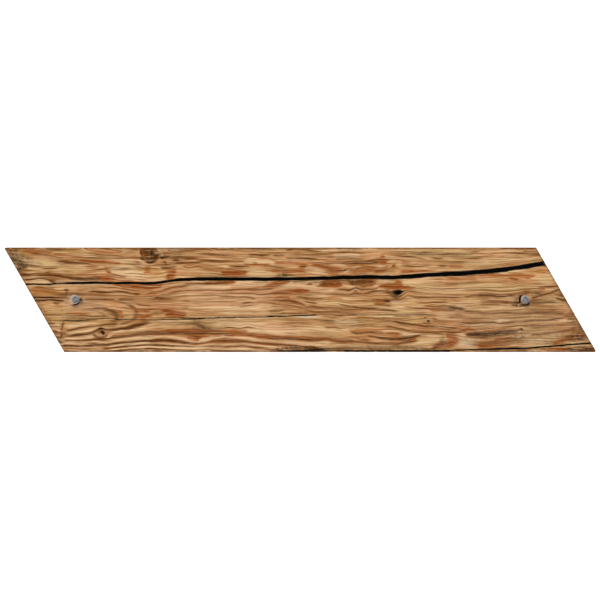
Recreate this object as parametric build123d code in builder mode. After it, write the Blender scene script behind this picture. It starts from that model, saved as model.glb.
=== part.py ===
# Wood-look porcelain tile, cut as one half of a chevron: a long slanted plank, dry pressed and fired in one piece.
# It lies face up: X runs along the plank, Y across it, and Z is up through its thickness.
# The origin is the middle of the bedding side, where two keying ribs cross.
# Each tip at an acute corner points away from the origin: the rear one to the left, the front one to the right.

from build123d import *
import math
import os

# The plank
TIP_TO_TIP = 510.0  # nominal length, between the sharp corners of the die
WIDTH = 90.0  # between the two long edges
THICKNESS = 9.0
CUT_ANGLE = 60.0  # degrees between a slanted end and a long edge, for a chevron
CORNER_RADIUS = 1.0  # upright corners of the die
FACE_ARRIS = 0.8  # rounding round the printed face, which the glaze runs over

# The bedding side
BACK_BEVEL_WIDTH = 0.8  # how far the bevel comes in from the edge
BACK_BEVEL_HEIGHT = 1.2  # how far it climbs the edge
RIM = 6.0  # flat band round the keying relief
CELL_ROWS = 6  # rows of cells across the width
RIB_WIDTH = 2.4
KEY_DEPTH = 0.8
KEY_DRAFT = 30.0  # degrees, so that the cells leave the punch
LEAST_CELL = 0.2  # cells cut shorter than this share of a whole one are left solid

# Worked out
end_run = WIDTH / math.tan(math.radians(CUT_ANGLE))  # how far an end leans along X
cell_pitch = (WIDTH / 2 - RIM + RIB_WIDTH / 2) / (CELL_ROWS / 2)
cell_side = cell_pitch - RIB_WIDTH
ribs_each_side = int(TIP_TO_TIP / 2 / cell_pitch)


def slanted_outline(inset):
    """The corners of the plank's outline, counterclockwise, moved in by inset on all four sides."""
    half_width = WIDTH / 2 - inset
    lean = half_width / math.tan(math.radians(CUT_ANGLE))
    half_chord = (TIP_TO_TIP - end_run) / 2 - inset / math.sin(math.radians(CUT_ANGLE))
    return [
        (-half_chord + lean, -half_width),
        (half_chord + lean, -half_width),
        (half_chord - lean, half_width),
        (-half_chord - lean, half_width),
    ]


# The tile, with a rounded face and a bevelled back
with BuildPart() as tile:
    with BuildSketch() as outline:
        with BuildLine():
            Polyline(*slanted_outline(0), close=True)
        make_face()
        fillet(outline.vertices(), CORNER_RADIUS)
    extrude(amount=THICKNESS)
    face_edges = tile.faces().sort_by(Axis.Z)[-1].edges()
    fillet(face_edges, FACE_ARRIS)
    bedding_side = tile.faces().sort_by(Axis.Z)[0]
    chamfer(bedding_side.edges(), BACK_BEVEL_WIDTH, BACK_BEVEL_HEIGHT, reference=bedding_side)

    # Keying relief: a lattice of ribs, with the cells between them sunk into the back
    with BuildSketch() as cells:
        with BuildLine():
            Polyline(*slanted_outline(RIM), close=True)
        make_face()
        with GridLocations(cell_pitch, 0, 2 * ribs_each_side + 1, 1):
            Rectangle(RIB_WIDTH, WIDTH, mode=Mode.SUBTRACT)
        with GridLocations(0, cell_pitch, 1, CELL_ROWS - 1):
            Rectangle(TIP_TO_TIP, RIB_WIDTH, mode=Mode.SUBTRACT)
    sunk = cells.faces().filter_by(lambda cell: cell.area > LEAST_CELL * cell_side**2)
    extrude(sunk, amount=KEY_DEPTH, taper=KEY_DRAFT, mode=Mode.SUBTRACT)

tile.part.label = "tile"

os.makedirs("parts", exist_ok=True)
export_step(tile.part, "parts/tile.step")

print("cells sunk into the back:", len(sunk))
print("volume in cubic centimetres:", round(tile.part.volume / 1000, 1))
print("box:", tile.part.bounding_box())
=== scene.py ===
import bpy
import bmesh
import math
import numpy as np
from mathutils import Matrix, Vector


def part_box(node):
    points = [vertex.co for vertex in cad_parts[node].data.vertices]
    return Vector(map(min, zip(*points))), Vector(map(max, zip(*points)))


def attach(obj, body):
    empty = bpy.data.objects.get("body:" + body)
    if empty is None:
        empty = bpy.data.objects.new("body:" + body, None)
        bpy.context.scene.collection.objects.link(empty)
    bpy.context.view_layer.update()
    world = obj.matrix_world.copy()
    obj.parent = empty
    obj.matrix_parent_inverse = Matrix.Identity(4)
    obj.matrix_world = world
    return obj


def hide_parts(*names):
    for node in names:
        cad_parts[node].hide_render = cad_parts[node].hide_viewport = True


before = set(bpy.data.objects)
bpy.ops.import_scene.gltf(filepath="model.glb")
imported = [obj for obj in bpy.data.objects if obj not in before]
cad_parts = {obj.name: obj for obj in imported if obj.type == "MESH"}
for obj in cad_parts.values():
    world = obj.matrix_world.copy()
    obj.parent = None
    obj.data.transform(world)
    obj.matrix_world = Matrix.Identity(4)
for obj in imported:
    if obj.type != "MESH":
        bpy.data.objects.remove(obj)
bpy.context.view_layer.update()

# The tile's body
# One slanted plank of porcelain, dry pressed in a die and fired in one piece.
# The arris round the face is rounded and the bedding side has its keying cells, as they left the press.
MM = 0.001
CUT_ANGLE = math.radians(60)  # between a slanted end and a long edge
LEAN = 1 / math.tan(CUT_ANGLE)  # how far an end moves along the plank for each step across it
CORNER_RADIUS = 1.0  # upright corners, in millimetres as all sizes here that have no MM beside them
ARRIS = 0.8  # rounding round the printed face
ARRIS_STEPS = 5
CORNER_STEPS = 6
BEVEL_HEIGHT = 1.2  # how far the bevel of the bedding side climbs the edge
ROW_STEP = 0.385  # between the points of the face, across the plank
COLUMN_STEP = 1.6  # and along it
FINE_COLUMN_STEP = 0.8  # along it over nails and knots
STEP_CHANGE = 4  # one step passes into the other over this length
TRIAL_POINTS = 4000
FINE_COLUMNS = [(-226, -215), (-204, -183), (-118, -96), (47, 58), (84, 103), (169, 200)]

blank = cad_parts["tile"]
low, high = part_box("tile")
WIDTH = (high[1] - low[1]) / MM
THICKNESS = (high[2] - low[2]) / MM
TIP_TO_TIP = (high[0] - low[0]) / MM + 2 * (CORNER_RADIUS / math.tan(CUT_ANGLE / 2) - CORNER_RADIUS)
HALF_CHORD = (TIP_TO_TIP - WIDTH * LEAN) / 2


def columns_along(half):
    """Places along the plank for the columns of points, closer together over nails and knots."""
    q = np.linspace(-half, half, TRIAL_POINTS)
    step = np.full(q.shape, COLUMN_STEP)
    for start, end in FINE_COLUMNS:
        inside = np.clip(np.minimum(q - start, end - q) / STEP_CHANGE + 0.5, 0, 1)
        step = np.minimum(step, COLUMN_STEP + (FINE_COLUMN_STEP - COLUMN_STEP) * inside)
    count = np.concatenate([[0], np.cumsum(np.diff(q) / step[1:])])
    return np.interp(np.linspace(0, count[-1], int(count[-1]) + 1), count, q)


half_width = WIDTH / 2 - CORNER_RADIUS
along = columns_along(HALF_CHORD - CORNER_RADIUS / math.sin(CUT_ANGLE))
across = np.linspace(-half_width, half_width, int(2 * half_width / ROW_STEP) + 1)
X = along[None, :] - LEAN * across[:, None]
Y = np.repeat(across[:, None], len(along), axis=1)

# The printed wood
# A picture of an old pine board, jetted onto the raw body in ceramic inks and sealed under a matt glaze.
# Each ink is a field over the face, laid in strokes. A stroke is its strength, then the x, the y
# and the width of each point on its way, in millimetres.
END_FADE = 4.0  # a stroke thins out over this length at each end
STROKE_STEP = 0.7
STROKE_PIECE = 40  # a long stroke is worked in pieces of this many steps
LEAST_WIDTH = 0.3
GUIDE_LENGTH = 8  # shorter strokes bend no fibres
STEEPEST = 0.7  # the most that a stroke makes the fibres lean
STRAIGHT_PULL = 0.02  # what keeps them straight where no stroke is near

rng = np.random.default_rng(51)


def smooth_line(points):
    """Close points along a smooth curve through the given ones, each with its width."""
    knots = np.reshape(points, (-1, 3)).astype(float)
    t = np.concatenate([[0], np.cumsum(np.hypot(*np.diff(knots[:, :2], axis=0).T))])
    slope = np.gradient(knots, t, axis=0)
    s = np.linspace(0, t[-1], int(t[-1] / STROKE_STEP) + 2)
    k = np.clip(np.searchsorted(t, s, side="right") - 1, 0, len(t) - 2)
    h = (t[k + 1] - t[k])[:, None]
    u = (s - t[k])[:, None] / h
    start = (2 * u**3 - 3 * u**2 + 1) * knots[k] + (u**3 - 2 * u**2 + u) * h * slope[k]
    end = (3 * u**2 - 2 * u**3) * knots[k + 1] + (u**3 - u**2) * h * slope[k + 1]
    return start + end


def wander(length, height, size):
    """A smooth random field over the face, in waves of the given length, height and size."""
    nx = int(TIP_TO_TIP / length) + 3
    ny = int(WIDTH / height) + 3
    grid = rng.normal(size=(ny, nx))
    fx = (X + TIP_TO_TIP / 2) / length
    fy = (Y + WIDTH / 2) / height
    ix = fx.astype(int)
    iy = fy.astype(int)
    ux = fx - ix
    uy = fy - iy
    ux = ux * ux * (3 - 2 * ux)
    uy = uy * uy * (3 - 2 * uy)
    top = grid[iy, ix] * (1 - ux) + grid[iy, ix + 1] * ux
    bottom = grid[iy + 1, ix] * (1 - ux) + grid[iy + 1, ix + 1] * ux
    return size * (top * (1 - uy) + bottom * uy)


# The hand of the grain: strokes waver a little, more along the plank than across it
wavered_x = X + wander(9, 5, 0.5)
wavered_y = Y + wander(14, 4, 0.09) + wander(5, 1.2, 0.1) + wander(2.5, 0.8, 0.06)

inks = {name: np.zeros(X.shape) for name in
        ("brown", "amber", "rust", "ochre", "rose", "cream", "ash", "black", "chalk", "khaki", "gold",
         "burnt")}
slope_sum = np.zeros(X.shape)
slope_weight = np.full(X.shape, STRAIGHT_PULL)


def stroke(ink, strength, points, hardness=2, share=0.6, guides=True):
    """Lay one soft band of ink along the points, and let the fibres beside it run the same way.
    The ink has fallen to a third at the given share of the width from the middle."""
    line = smooth_line(points)
    total = len(line) - 1
    length = total * STROKE_STEP
    field = inks[ink]
    for first in range(0, total, STROKE_PIECE):
        piece = line[first:first + STROKE_PIECE + 1]
        reach = (4 if ink == "brown" else 2.4) * piece[:, 2].max() + 0.8
        rows = (across > piece[:, 1].min() - reach) & (across < piece[:, 1].max() + reach)
        lowest_q = (piece[:, 0] + LEAN * piece[:, 1]).min() - 2 * reach
        highest_q = (piece[:, 0] + LEAN * piece[:, 1]).max() + 2 * reach
        columns = (along > lowest_q) & (along < highest_q)
        if not rows.any() or not columns.any():
            continue
        window = np.ix_(rows, columns)
        dx = wavered_x[window][..., None] - piece[:, 0]
        dy = wavered_y[window][..., None] - piece[:, 1]
        distance = np.hypot(dx, dy)
        nearest = distance.argmin(axis=2)
        distance = np.take_along_axis(distance, nearest[..., None], axis=2)[..., 0]
        width = np.maximum(piece[nearest, 2], LEAST_WIDTH)
        place = (nearest + first) * STROKE_STEP
        fade = np.clip(np.minimum(place, length - place) / min(END_FADE, length / 2.5) + 0.25, 0, 1)
        band = np.exp(-(distance / (share * width)) ** hardness) * fade
        field[window] = np.maximum(field[window], strength * band)
        if ink == "brown":
            below = np.take_along_axis(dy, nearest[..., None], axis=2)[..., 0] < 0
            softness = np.where(below, 2.0, 1.3) * width + 0.3
            halo = strength * fade * np.exp(-(distance / softness) ** 2)
            inks["amber"][window] = np.maximum(inks["amber"][window], halo)
        direction = np.gradient(piece[:, :2], axis=0)[nearest]
        run = np.abs(direction[..., 0]) + 1e-6
        steep = direction[..., 1] / run * np.sign(direction[..., 0])
        weight = np.exp(-(distance / (1.5 + width)) ** 2 - (steep / 0.5) ** 2)
        weight *= guides and length > GUIDE_LENGTH
        slope_sum[window] += weight * np.clip(steep, -STEEPEST, STEEPEST)
        slope_weight[window] += weight


# Latewood rings and the dark lines between them, from the rear long edge to the front one
RINGS = [
    # Rear left, above the long crack
    (0.75, -255, 44.6, 1.6, -244, 44.4, 1.6, -232, 44.5, 1.2, -226, 44.8, 0.8),
    (0.5, -232, 40, 1.2, -225, 39.3, 1.4, -219, 38.6, 1.4, -214, 37.4, 1.6, -208, 36.4, 1.4, -202, 36, 1),
    (0.8, -210, 33, 1, -204, 32.8, 1.5, -199, 32.1, 2, -195, 31.7, 1.8, -190, 31.5, 1.8, -185, 31.4, 1.4,
     -180, 31.2, 1),
    (0.6, -223, 26.8, 0.7, -217, 26.8, 1.1, -212, 27, 0.9, -207, 27.2, 0.6),
    (0.6, -186, 28.6, 0.8, -182, 28.6, 1.2, -178, 28.7, 1.1, -173, 28.8, 0.7),
    (0.85, -242, 21.8, 2.4, -237, 21.5, 2.2, -231, 21, 1.4, -225, 20.9, 1.2, -218, 21.2, 1.6,
     -212, 21, 1.8, -205, 20.1, 2, -199, 19.2, 2.2, -193, 18.3, 2.4, -187, 18, 2.6, -180, 18.2, 2.6,
     -175, 18.3, 2.2, -169, 19.6, 1.6),
    (0.6, -233, 21.8, 0.9, -227, 22.6, 1.1, -222, 22.6, 1.2, -217, 23.6, 1.6, -213, 22.8, 1.8),
    (0.9, -239, 17.2, 1.2, -233, 17.4, 1.2, -229, 17.8, 1.2, -226, 18.3, 1.2, -223, 18.5, 1.2,
     -220, 18.2, 1.2, -217.5, 17.5, 1.3, -215.2, 16.4, 1.6, -213, 15.3, 1.4, -210, 14.6, 1),
    (0.45, -175, 44.7, 1, -166, 44.2, 1.3, -158, 44.3, 1.3, -150, 44.2, 1.4, -142, 44, 1.6,
     -136, 44.5, 1),
    (0.5, -171, 43.9, 0.8, -164, 42.9, 0.9, -158, 42.3, 1, -152, 42, 0.9),
    (0.6, -184, 40, 0.8, -178, 39.7, 1.1, -173, 38.9, 1.4, -168, 38.3, 1.1, -161, 38.1, 1.3,
     -157, 37.6, 1.3, -153, 36.7, 1.2, -149, 36.2, 0.8),
    (0.6, -162, 35.5, 0.8, -153, 35.7, 1, -147, 36, 1.1, -142, 36.5, 1.1, -138, 36.3, 1.2),
    (0.5, -162, 26.2, 0.7, -156, 26.1, 0.9, -150, 26, 0.8, -145, 25.9, 0.6),
    (0.35, -222, 22, 1.6, -214, 21.4, 2.6, -205, 20.2, 3, -196, 18.9, 3.4, -186, 18.6, 3.4,
     -177, 18.8, 3.2, -170, 18.6, 3),
    (0.5, -164, 22.4, 1.4, -159, 21.2, 1.2, -154, 20.3, 1, -148, 19.9, 0.7),
    (0.4, -144, 28.8, 0.8, -138, 28, 0.9, -133, 27.2, 0.9, -127, 27, 0.9, -121, 26.6, 0.7),
    # Rear middle
    (0.65, -116, 43.8, 0.7, -112, 42, 0.9, -108.5, 40.9, 0.9, -105, 40.8, 0.9, -102, 41.6, 0.9,
     -99.5, 42.7, 0.9, -96, 43.3, 1, -92, 43.2, 1, -86, 43.7, 0.9, -80, 43.5, 0.9, -74, 42.2, 0.7),
    (0.55, -101, 35.3, 1.2, -95, 35.3, 1.6, -90, 35.3, 1.4, -85, 34.4, 1.5, -80, 34, 1.3, -75, 33.4, 1.2),
    (0.95, -110, 33.6, 0.7, -107, 33.9, 1.2, -103.5, 33.5, 0.8),
    (0.8, -109, 31.3, 0.7, -106, 31.6, 1.3, -102, 31.8, 1.3, -97, 32, 1, -92, 32.1, 1, -87, 32.6, 1,
     -82, 33.4, 0.9),
    (0.65, -78, 33.2, 0.8, -72, 32.9, 1, -68, 32.6, 1, -63, 32.9, 0.9, -55, 32.9, 0.8, -48, 33, 0.6),
    (0.45, -80, 38.2, 0.7, -73, 37.5, 0.9, -67, 36.8, 0.9, -61, 36.4, 1, -56, 35.6, 1, -51, 35.3, 0.8,
     -46, 35.2, 0.6),
    (0.8, -120, 27.6, 0.8, -116.5, 27.4, 1.3, -113, 27.5, 1, -110.5, 28.4, 0.8, -106, 28.7, 0.7),
    (0.55, -102, 28.9, 0.7, -99, 28.6, 0.9, -96.5, 27.4, 1.1, -93.5, 27.7, 1, -89, 28.6, 0.9,
     -84, 28.4, 0.8),
    (0.75, -62, 29.3, 0.8, -57, 28.8, 1.2, -53, 28.6, 1.3, -48, 28.7, 1, -43, 28.8, 0.7),
    (0.85, -45, 38.9, 0.8, -39, 38.9, 0.9, -35, 38.5, 1.1, -32, 38.3, 1.4, -29.5, 38.6, 1,
     -25, 38.9, 0.7),
    (0.85, -24, 38.2, 0.7, -20, 38.1, 1.2, -16.5, 38.1, 1, -12, 38.3, 0.6),
    (0.8, -13, 35.7, 0.7, -6, 35.7, 1, 0, 35.6, 1.1, 5, 35.5, 1.1, 10, 35.3, 1, 15, 35.4, 0.7),
    (0.55, -5, 39.7, 0.8, 0, 39.3, 1, 6, 38.8, 1, 11, 38.6, 0.9, 17, 38.2, 0.7),
    (0.65, -13, 43.6, 1.2, -8.5, 43.2, 1.4, -5, 43.5, 1, 0, 43.4, 1, 5, 43, 1, 9, 42.2, 1.3, 13, 41.7, 1,
     20, 41.4, 0.7),
    (0.5, -34, 29.2, 0.8, -27, 29, 1.1, -22, 28.3, 1.2, -17, 27.8, 1.2, -12, 27.3, 0.8),
    (0.8, -2.5, 29, 0.7, 1, 28.7, 1.1, 4, 28.8, 1.3, 7, 29.1, 0.8),
    (0.65, 22, 40.1, 0.7, 27, 40.2, 1, 31, 40.5, 1.1, 35, 40.6, 1.4, 40, 40.6, 1.4, 45, 40.6, 1.2,
     50, 40.1, 0.8, 56, 40, 0.6),
    (0.5, 30, 34.9, 0.6, 36, 34.8, 0.8, 42, 35.2, 1, 46, 35.1, 0.8, 53, 34.8, 0.6),
    (0.75, 33, 31.2, 0.7, 40, 31.2, 0.9, 46, 31.2, 1.1, 52, 31.3, 1.4, 58, 31.3, 1.5, 64, 31.8, 1.8,
     68, 31.8, 1.6),
    (0.7, 56, 33.4, 1, 62, 34, 1.5, 67, 34.4, 1.6, 72, 34.3, 1.2, 77, 33.9, 0.8),
    (0.9, 36.5, 24.9, 0.9, 39, 25.8, 1.1, 41, 26.5, 1, 43, 27.2, 0.8),
    # Rear right
    (0.7, 80, 37.9, 0.6, 85, 37.5, 0.9, 90, 37.3, 1.1, 95, 37.1, 1.1, 99, 36.7, 0.9, 103, 35.9, 0.8,
     108, 35.4, 0.7),
    (0.65, 112, 36.6, 0.8, 115, 36.2, 1.1, 119, 35.6, 0.9, 125, 35.8, 0.6),
    (0.6, 86, 30, 0.9, 91, 29.6, 1.3, 96, 29, 1.3, 101, 28.8, 1.2, 107, 29, 1, 113, 29.3, 0.8),
    (0.7, 118, 29.4, 0.9, 121, 29.4, 1.3, 124.5, 29.4, 1, 128, 29.4, 0.6),
    (0.5, 100, 44.2, 0.8, 112, 44.3, 0.8, 124, 44.2, 0.7, 133, 44, 0.8),
    (0.45, 128, 37, 0.7, 134, 36.7, 0.8, 142, 35.9, 0.7, 150, 35.2, 0.8, 156, 35.3, 0.7),
    (0.45, 170, 37.2, 0.6, 178, 36.8, 0.8, 185, 36.7, 1, 193, 36.2, 0.9),
    (0.6, 172, 44, 0.6, 182, 44.2, 0.8, 192, 44.1, 0.9, 204, 44, 0.9),
    (0.5, 190, 41.8, 1, 197, 41.8, 1, 205, 41.8, 1),
    # Middle left, below the long crack
    (0.55, -230, 11, 1, -224, 10.5, 1.4, -218, 9.6, 1.2, -211, 9.2, 0.8),
    (0.4, -222, 6.9, 0.8, -214, 6.3, 1, -206, 6.1, 0.7),
    (1.0, -231, 2.3, 1.3, -224, 2.1, 1.2, -216, 2, 1.1, -208, 2, 1.1, -203, 2.1, 1, -199, 2.3, 0.7),
    (1.0, -230, -0.5, 1.4, -222, -0.4, 1.2, -216, 0.1, 1.1, -211, 0.1, 1.1, -207, -0.5, 1.2,
     -202.6, -0.8, 1.1),
    (1.0, -204.4, 8.2, 1, -202, 8.3, 1.5, -199, 8.1, 1),
    (0.95, -201.2, 7.8, 1.6, -201.3, 6.2, 1.8, -201.9, 4.4, 1.5, -202.4, 2.8, 1.2),
    (0.7, -213, -2.6, 0.7, -209.6, -3.2, 1.8, -206, -3, 0.9),
    (0.85, -218, -20.4, 1, -213, -20.4, 1.1, -209, -20.2, 1),
    (0.55, -193, 8, 0.8, -188, 8, 0.9, -182, 8.2, 0.7),
    (0.8, -183, 7, 0.8, -178, 7, 1.3, -172, 6.6, 1.8, -166, 6.4, 1.8, -160, 7, 1.4, -154, 7.1, 1.3,
     -149, 6.4, 1.1, -145, 5.3, 1, -141, 4.9, 1.5, -137, 5.1, 1.2),
    (0.4, -175, 3.7, 0.8, -169, 3.2, 1.2, -162, 3.2, 1, -155, 3.4, 0.7),
    (0.85, -187, 0.4, 0.8, -180, 0.3, 1.1, -172, 0.3, 1, -165, 0.2, 0.9, -158, 0.3, 0.7),
    (0.75, -157, 0.2, 1, -151, 0.5, 1.4, -146, 0.4, 1.2, -142, 0.2, 0.8),
    (0.5, -170, -9.4, 0.8, -165, -8.8, 1.2, -160, -9.3, 0.8),
    (0.6, -142, -3.3, 1, -137, -4.2, 1.2, -132, -4.9, 1, -127, -5.6, 0.9),
    (0.6, -134, 4.4, 0.9, -130, 5.4, 1.2, -126, 6.2, 1, -121, 7.4, 1, -117, 8.4, 1.1, -112, 9.9, 1.2,
     -107, 10.8, 1.1, -103, 11.6, 1.1, -99, 12.5, 1.3, -95, 13.3, 1.5, -90, 13.6, 1.6, -84, 13.7, 1.6,
     -78, 14.2, 1.7, -72, 14.3, 1.6, -66, 14.6, 1.5, -60, 14.9, 1.2),
    (0.65, -122, 3.9, 0.7, -115, 4.8, 1, -110, 6.2, 1.1, -105, 7.1, 1.1, -100, 7.8, 1, -94, 8.1, 1,
     -85, 8.2, 0.9, -76, 8.3, 0.9, -70, 8, 0.9, -63, 8, 0.9, -56, 8.8, 0.9, -48, 9, 1, -41, 8.9, 1.3,
     -34, 9.2, 1.2, -28, 9.6, 1.2, -22, 10.3, 1.2),
    (0.6, -88, 3.9, 0.7, -80, 3.7, 0.9, -74, 3.8, 1, -68, 3.2, 0.9, -62, 2.7, 0.9, -55, 2.1, 0.9,
     -50, 2.4, 1, -45, 2.3, 1.2, -41, 1.5, 1.1, -37, 0.8, 0.7),
    (0.85, -127, 0.8, 0.7, -123, 2, 1.2, -119, 1.3, 1.1, -115, 0.9, 0.9, -109, 0.8, 0.7),
    (0.45, -129, -0.4, 0.8, -122, -0.2, 0.9, -115, -0.4, 0.8),
    (0.65, -70, 6, 0.9, -60, 5.7, 1, -50, 5.4, 0.9, -44, 5.4, 1, -40.5, 5.3, 1, -37, 4.6, 1, -32, 4.7, 1,
     -27, 5.4, 1.2, -22, 6, 1.2, -16, 6, 1.2, -8, 6, 1.2),
    (0.4, -14, 7.8, 0.8, -6, 8.2, 1, 0, 8.6, 1.1, 4, 8.6, 0.9),
    # Middle
    (0.6, -51, -2.4, 0.9, -47, -2.5, 1.2, -43, -2.2, 1.1, -39.5, -2.4, 0.9),
    (0.4, -70, -1.2, 0.7, -60, -1.3, 0.9, -52, -1.6, 0.7),
    (0.6, -38, -1.7, 0.8, -32, -1.7, 0.9, -28, -2.2, 0.8, -24, -2.8, 1, -20, -3.9, 1, -15, -4.4, 1,
     -10, -4.9, 1.2, -5, -5.7, 1.1, 0, -7, 1.2, 4, -8, 1.1, 8, -9.3, 1.2, 13, -10.2, 1.5, 18, -10.3, 1.5,
     24, -10.2, 1.4, 30, -10.3, 1.4, 35, -10.7, 1.4, 39, -11.1, 1.1, 43, -12.1, 0.8),
    (0.75, -22, 0.1, 0.8, -15, -0.5, 1.2, -10, -0.7, 1.2, -6, -1.4, 1.3, -2, -2.6, 1.3, 2, -3.9, 1.1,
     5, -5.4, 1),
    (0.55, 2, -0.8, 0.9, 7, -2.2, 1, 11, -2.9, 1.1, 15, -3, 0.7),
    (0.75, 4, -5.6, 0.9, 8, -5.8, 1.1, 11, -6, 1.4, 15, -6.6, 1.2, 19, -7, 1.2, 24, -7.4, 1),
    (0.65, -18, -12.6, 0.9, -12, -11.8, 1.1, -6, -11.6, 1, 2, -11.6, 1, 9, -11.6, 0.7),
    (0.85, 33, -3.8, 0.7, 38, -5.1, 1, 42, -5.8, 1.2, 46, -6, 1.3, 50, -6.6, 1.4, 55, -7, 1.2,
     60, -7.4, 1.2, 65, -7.8, 1.2, 70, -8.5, 1.1, 75, -8.7, 1.1, 79, -9.2, 1.1, 84, -9.9, 0.8),
    (0.75, 52.4, -0.9, 0.7, 55, -0.9, 1, 58, -0.9, 0.9, 62, -0.7, 0.8, 66, -0.6, 0.7),
    (0.45, -14, -20, 0.8, -5, -19.6, 0.9, 3, -20, 1, 9, -20.6, 0.8),
    (0.5, 20, -23.4, 1, 25, -23.8, 1.2, 31, -23.8, 1.1, 36, -25.3, 0.8),
    (0.45, 19, -14.2, 0.9, 23, -14.3, 1, 27, -15.2, 1, 31, -15.7, 0.9, 34, -16.9, 0.9, 38, -17, 1,
     42, -16.6, 0.7),
    (0.5, 47, -15.1, 0.8, 52, -14.8, 1.1, 56, -15.2, 1, 61, -15.6, 1, 66, -16.4, 1.2, 71, -16.8, 1.1,
     76, -17.6, 1.1, 80, -18.5, 1.2),
    (0.9, 78, -18.3, 0.9, 82, -18.9, 1.2, 86, -19.8, 1.4, 90, -20.5, 1.4, 94, -21, 1.2, 98, -21.4, 1.1,
     102, -22, 1.1, 106, -22.5, 1.2, 110, -22.8, 1.2, 116, -22.8, 1, 121, -23.1, 1.1, 126, -23.8, 1.1,
     131, -24.3, 1.1, 136, -24.6, 1.3),
    (0.7, 42, -26.7, 0.8, 45, -27.9, 1, 48, -28.6, 1.3, 53, -28.5, 1.2, 58, -27.9, 1.2, 63, -28, 1.3,
     68, -28.5, 1.3, 73, -28.4, 0.9),
    (0.8, 57, -30.6, 0.7, 60, -31.4, 1.1, 63, -31.6, 1.1, 66, -32.3, 1.2, 70, -33, 1.3, 75, -33.6, 1.3),
    (0.55, 52, -34, 0.9, 56, -34.4, 1.5, 60, -34.6, 1),
    (0.7, 72, -22.7, 0.7, 75, -22.8, 1.1, 79, -23.2, 0.8, 84, -24.5, 1.1, 88, -25, 1, 91, -26, 1.2,
     94, -26.8, 1.2, 98, -27.4, 1.1, 103, -27.7, 1, 108, -28, 1, 113, -28.5, 1.1, 119, -28.9, 1.1,
     124, -29, 1.1),
    (0.55, 79, -14, 0.8, 84, -14.1, 1, 89, -14.6, 0.9, 96, -14.6, 0.7),
    (0.6, 88, -6, 0.7, 94, -6.4, 0.9, 99, -7, 1, 103, -7.4, 1, 108, -7.4, 1, 111, -7.8, 1.1,
     114, -8.5, 1.4, 118, -8.6, 1.3, 121, -8.3, 1.2, 126, -8.6, 1.2, 132, -8.8, 1.1),
    (0.85, 100, -2.5, 0.6, 107, -2.8, 0.7, 113, -2.2, 0.9, 117, -2.1, 1, 122, -2.2, 0.9, 128, -2.3, 0.6),
    (0.6, 106, -5.3, 0.8, 113, -5.6, 1.2, 119, -5.9, 1.1, 125, -5.9, 1, 131, -6.2, 1.1, 136, -6.5, 1),
    (0.75, 95, 1.9, 0.6, 101, 1.4, 0.8, 106, 1.7, 1, 109, 1.7, 1.2, 113, 1.8, 0.9, 118, 2.1, 1,
     124, 2.1, 1.1, 129, 2.1, 1.3, 134, 2.1, 1.2, 139, 2.3, 0.9),
    (0.7, 63, -3.6, 0.9, 68, -4, 1.1, 73, -4.5, 0.9, 79, -5.1, 0.6),
    (0.85, 30, 9.1, 0.6, 35, 9.1, 0.9, 38, 8.8, 0.9, 41, 8.2, 1, 44, 8.8, 1, 46, 9.8, 0.9, 48, 10.3, 0.8,
     50, 9.8, 0.9, 52, 8.8, 1, 54.5, 8.6, 1, 58, 8.8, 1, 62, 9.2, 1.1, 66, 10, 1.1, 69, 11, 0.9),
    (0.6, 52, 5.5, 0.9, 55, 5, 1, 59, 6.2, 1, 62, 7.2, 1, 67, 7.6, 1, 72, 7.9, 0.9, 78, 8.3, 0.6),
    (0.55, 0, 5.5, 0.6, 6, 5.5, 0.7, 12, 5.8, 0.9, 16, 6, 1, 20, 6.7, 0.8),
    (0.6, -4, 2.2, 1, 0, 2.6, 1.2, 4, 1.6, 1.4, 9, 1.5, 0.9, 15, 1.2, 0.8, 22, 1, 0.6),
    (0.9, 4.8, 12.3, 0.6, 7, 13.3, 0.9, 9, 13.5, 0.9, 11.2, 12.8, 0.6),
    # Middle right, up to the right nail
    (0.8, 140, 2.6, 0.8, 144, 3, 0.9, 148, 3.4, 1.2, 152, 3.8, 1.6, 156, 3.9, 2, 161, 3.8, 2,
     166, 3.2, 1.7, 170, 2.4, 1.5, 174, 2.6, 1.3, 179, 3.4, 1.4, 184, 4, 1.2),
    (0.6, 157, 4.8, 0.8, 165, 4.7, 0.9, 172, 4.5, 1, 178, 4.9, 1.1, 184, 5.5, 1.2, 189, 6, 1.4,
     194, 6.6, 1.6, 199, 6.2, 1.2),
    (0.65, 154, -1.3, 1, 158, -1.3, 1.4, 163, -1.4, 1.4, 168, -1.6, 1.4, 173, -1.7, 1.8, 177, -2.3, 2.2,
     181, -2.8, 1.4),
    (0.55, 154, -3.9, 0.8, 160, -4.2, 0.9, 167, -3.8, 0.9, 173, -3.9, 0.7),
    (0.8, 124, -5.4, 0.9, 129, -6, 1.2, 134, -6.4, 1),
    (0.8, 126, -8.7, 0.9, 131, -8.9, 1.2, 136, -8.7, 0.9),
    (0.8, 141, -9.6, 1, 145, -10.2, 1.1, 149, -10.5, 0.9, 153, -10.5, 0.9, 157, -11.2, 1.1,
     162, -11.4, 0.9, 169, -11.4, 0.9, 177, -11.2, 1.2, 185, -11.5, 1.2, 193, -11.5, 1.2, 201, -11.3, 1.1,
     209, -11.1, 1.1, 217, -11, 1.2, 223, -11.5, 1.1, 228, -11.5, 1),
    (0.5, 126, -15.4, 0.8, 134, -15.6, 0.9, 142, -15.8, 0.9, 150, -16, 0.9, 156, -16.2, 1.1,
     163, -16.1, 0.9, 170, -15.8, 0.8, 177, -15.6, 1, 184, -15.4, 1.1, 192, -15, 0.9, 200, -14.4, 0.8,
     208, -14.5, 0.9, 215, -14.7, 0.9, 221, -15, 0.9),
    (0.9, 136, -19.4, 0.7, 141, -19.7, 1, 146, -20.1, 1.2, 151, -20, 1.2, 157, -19.6, 1.2,
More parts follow.
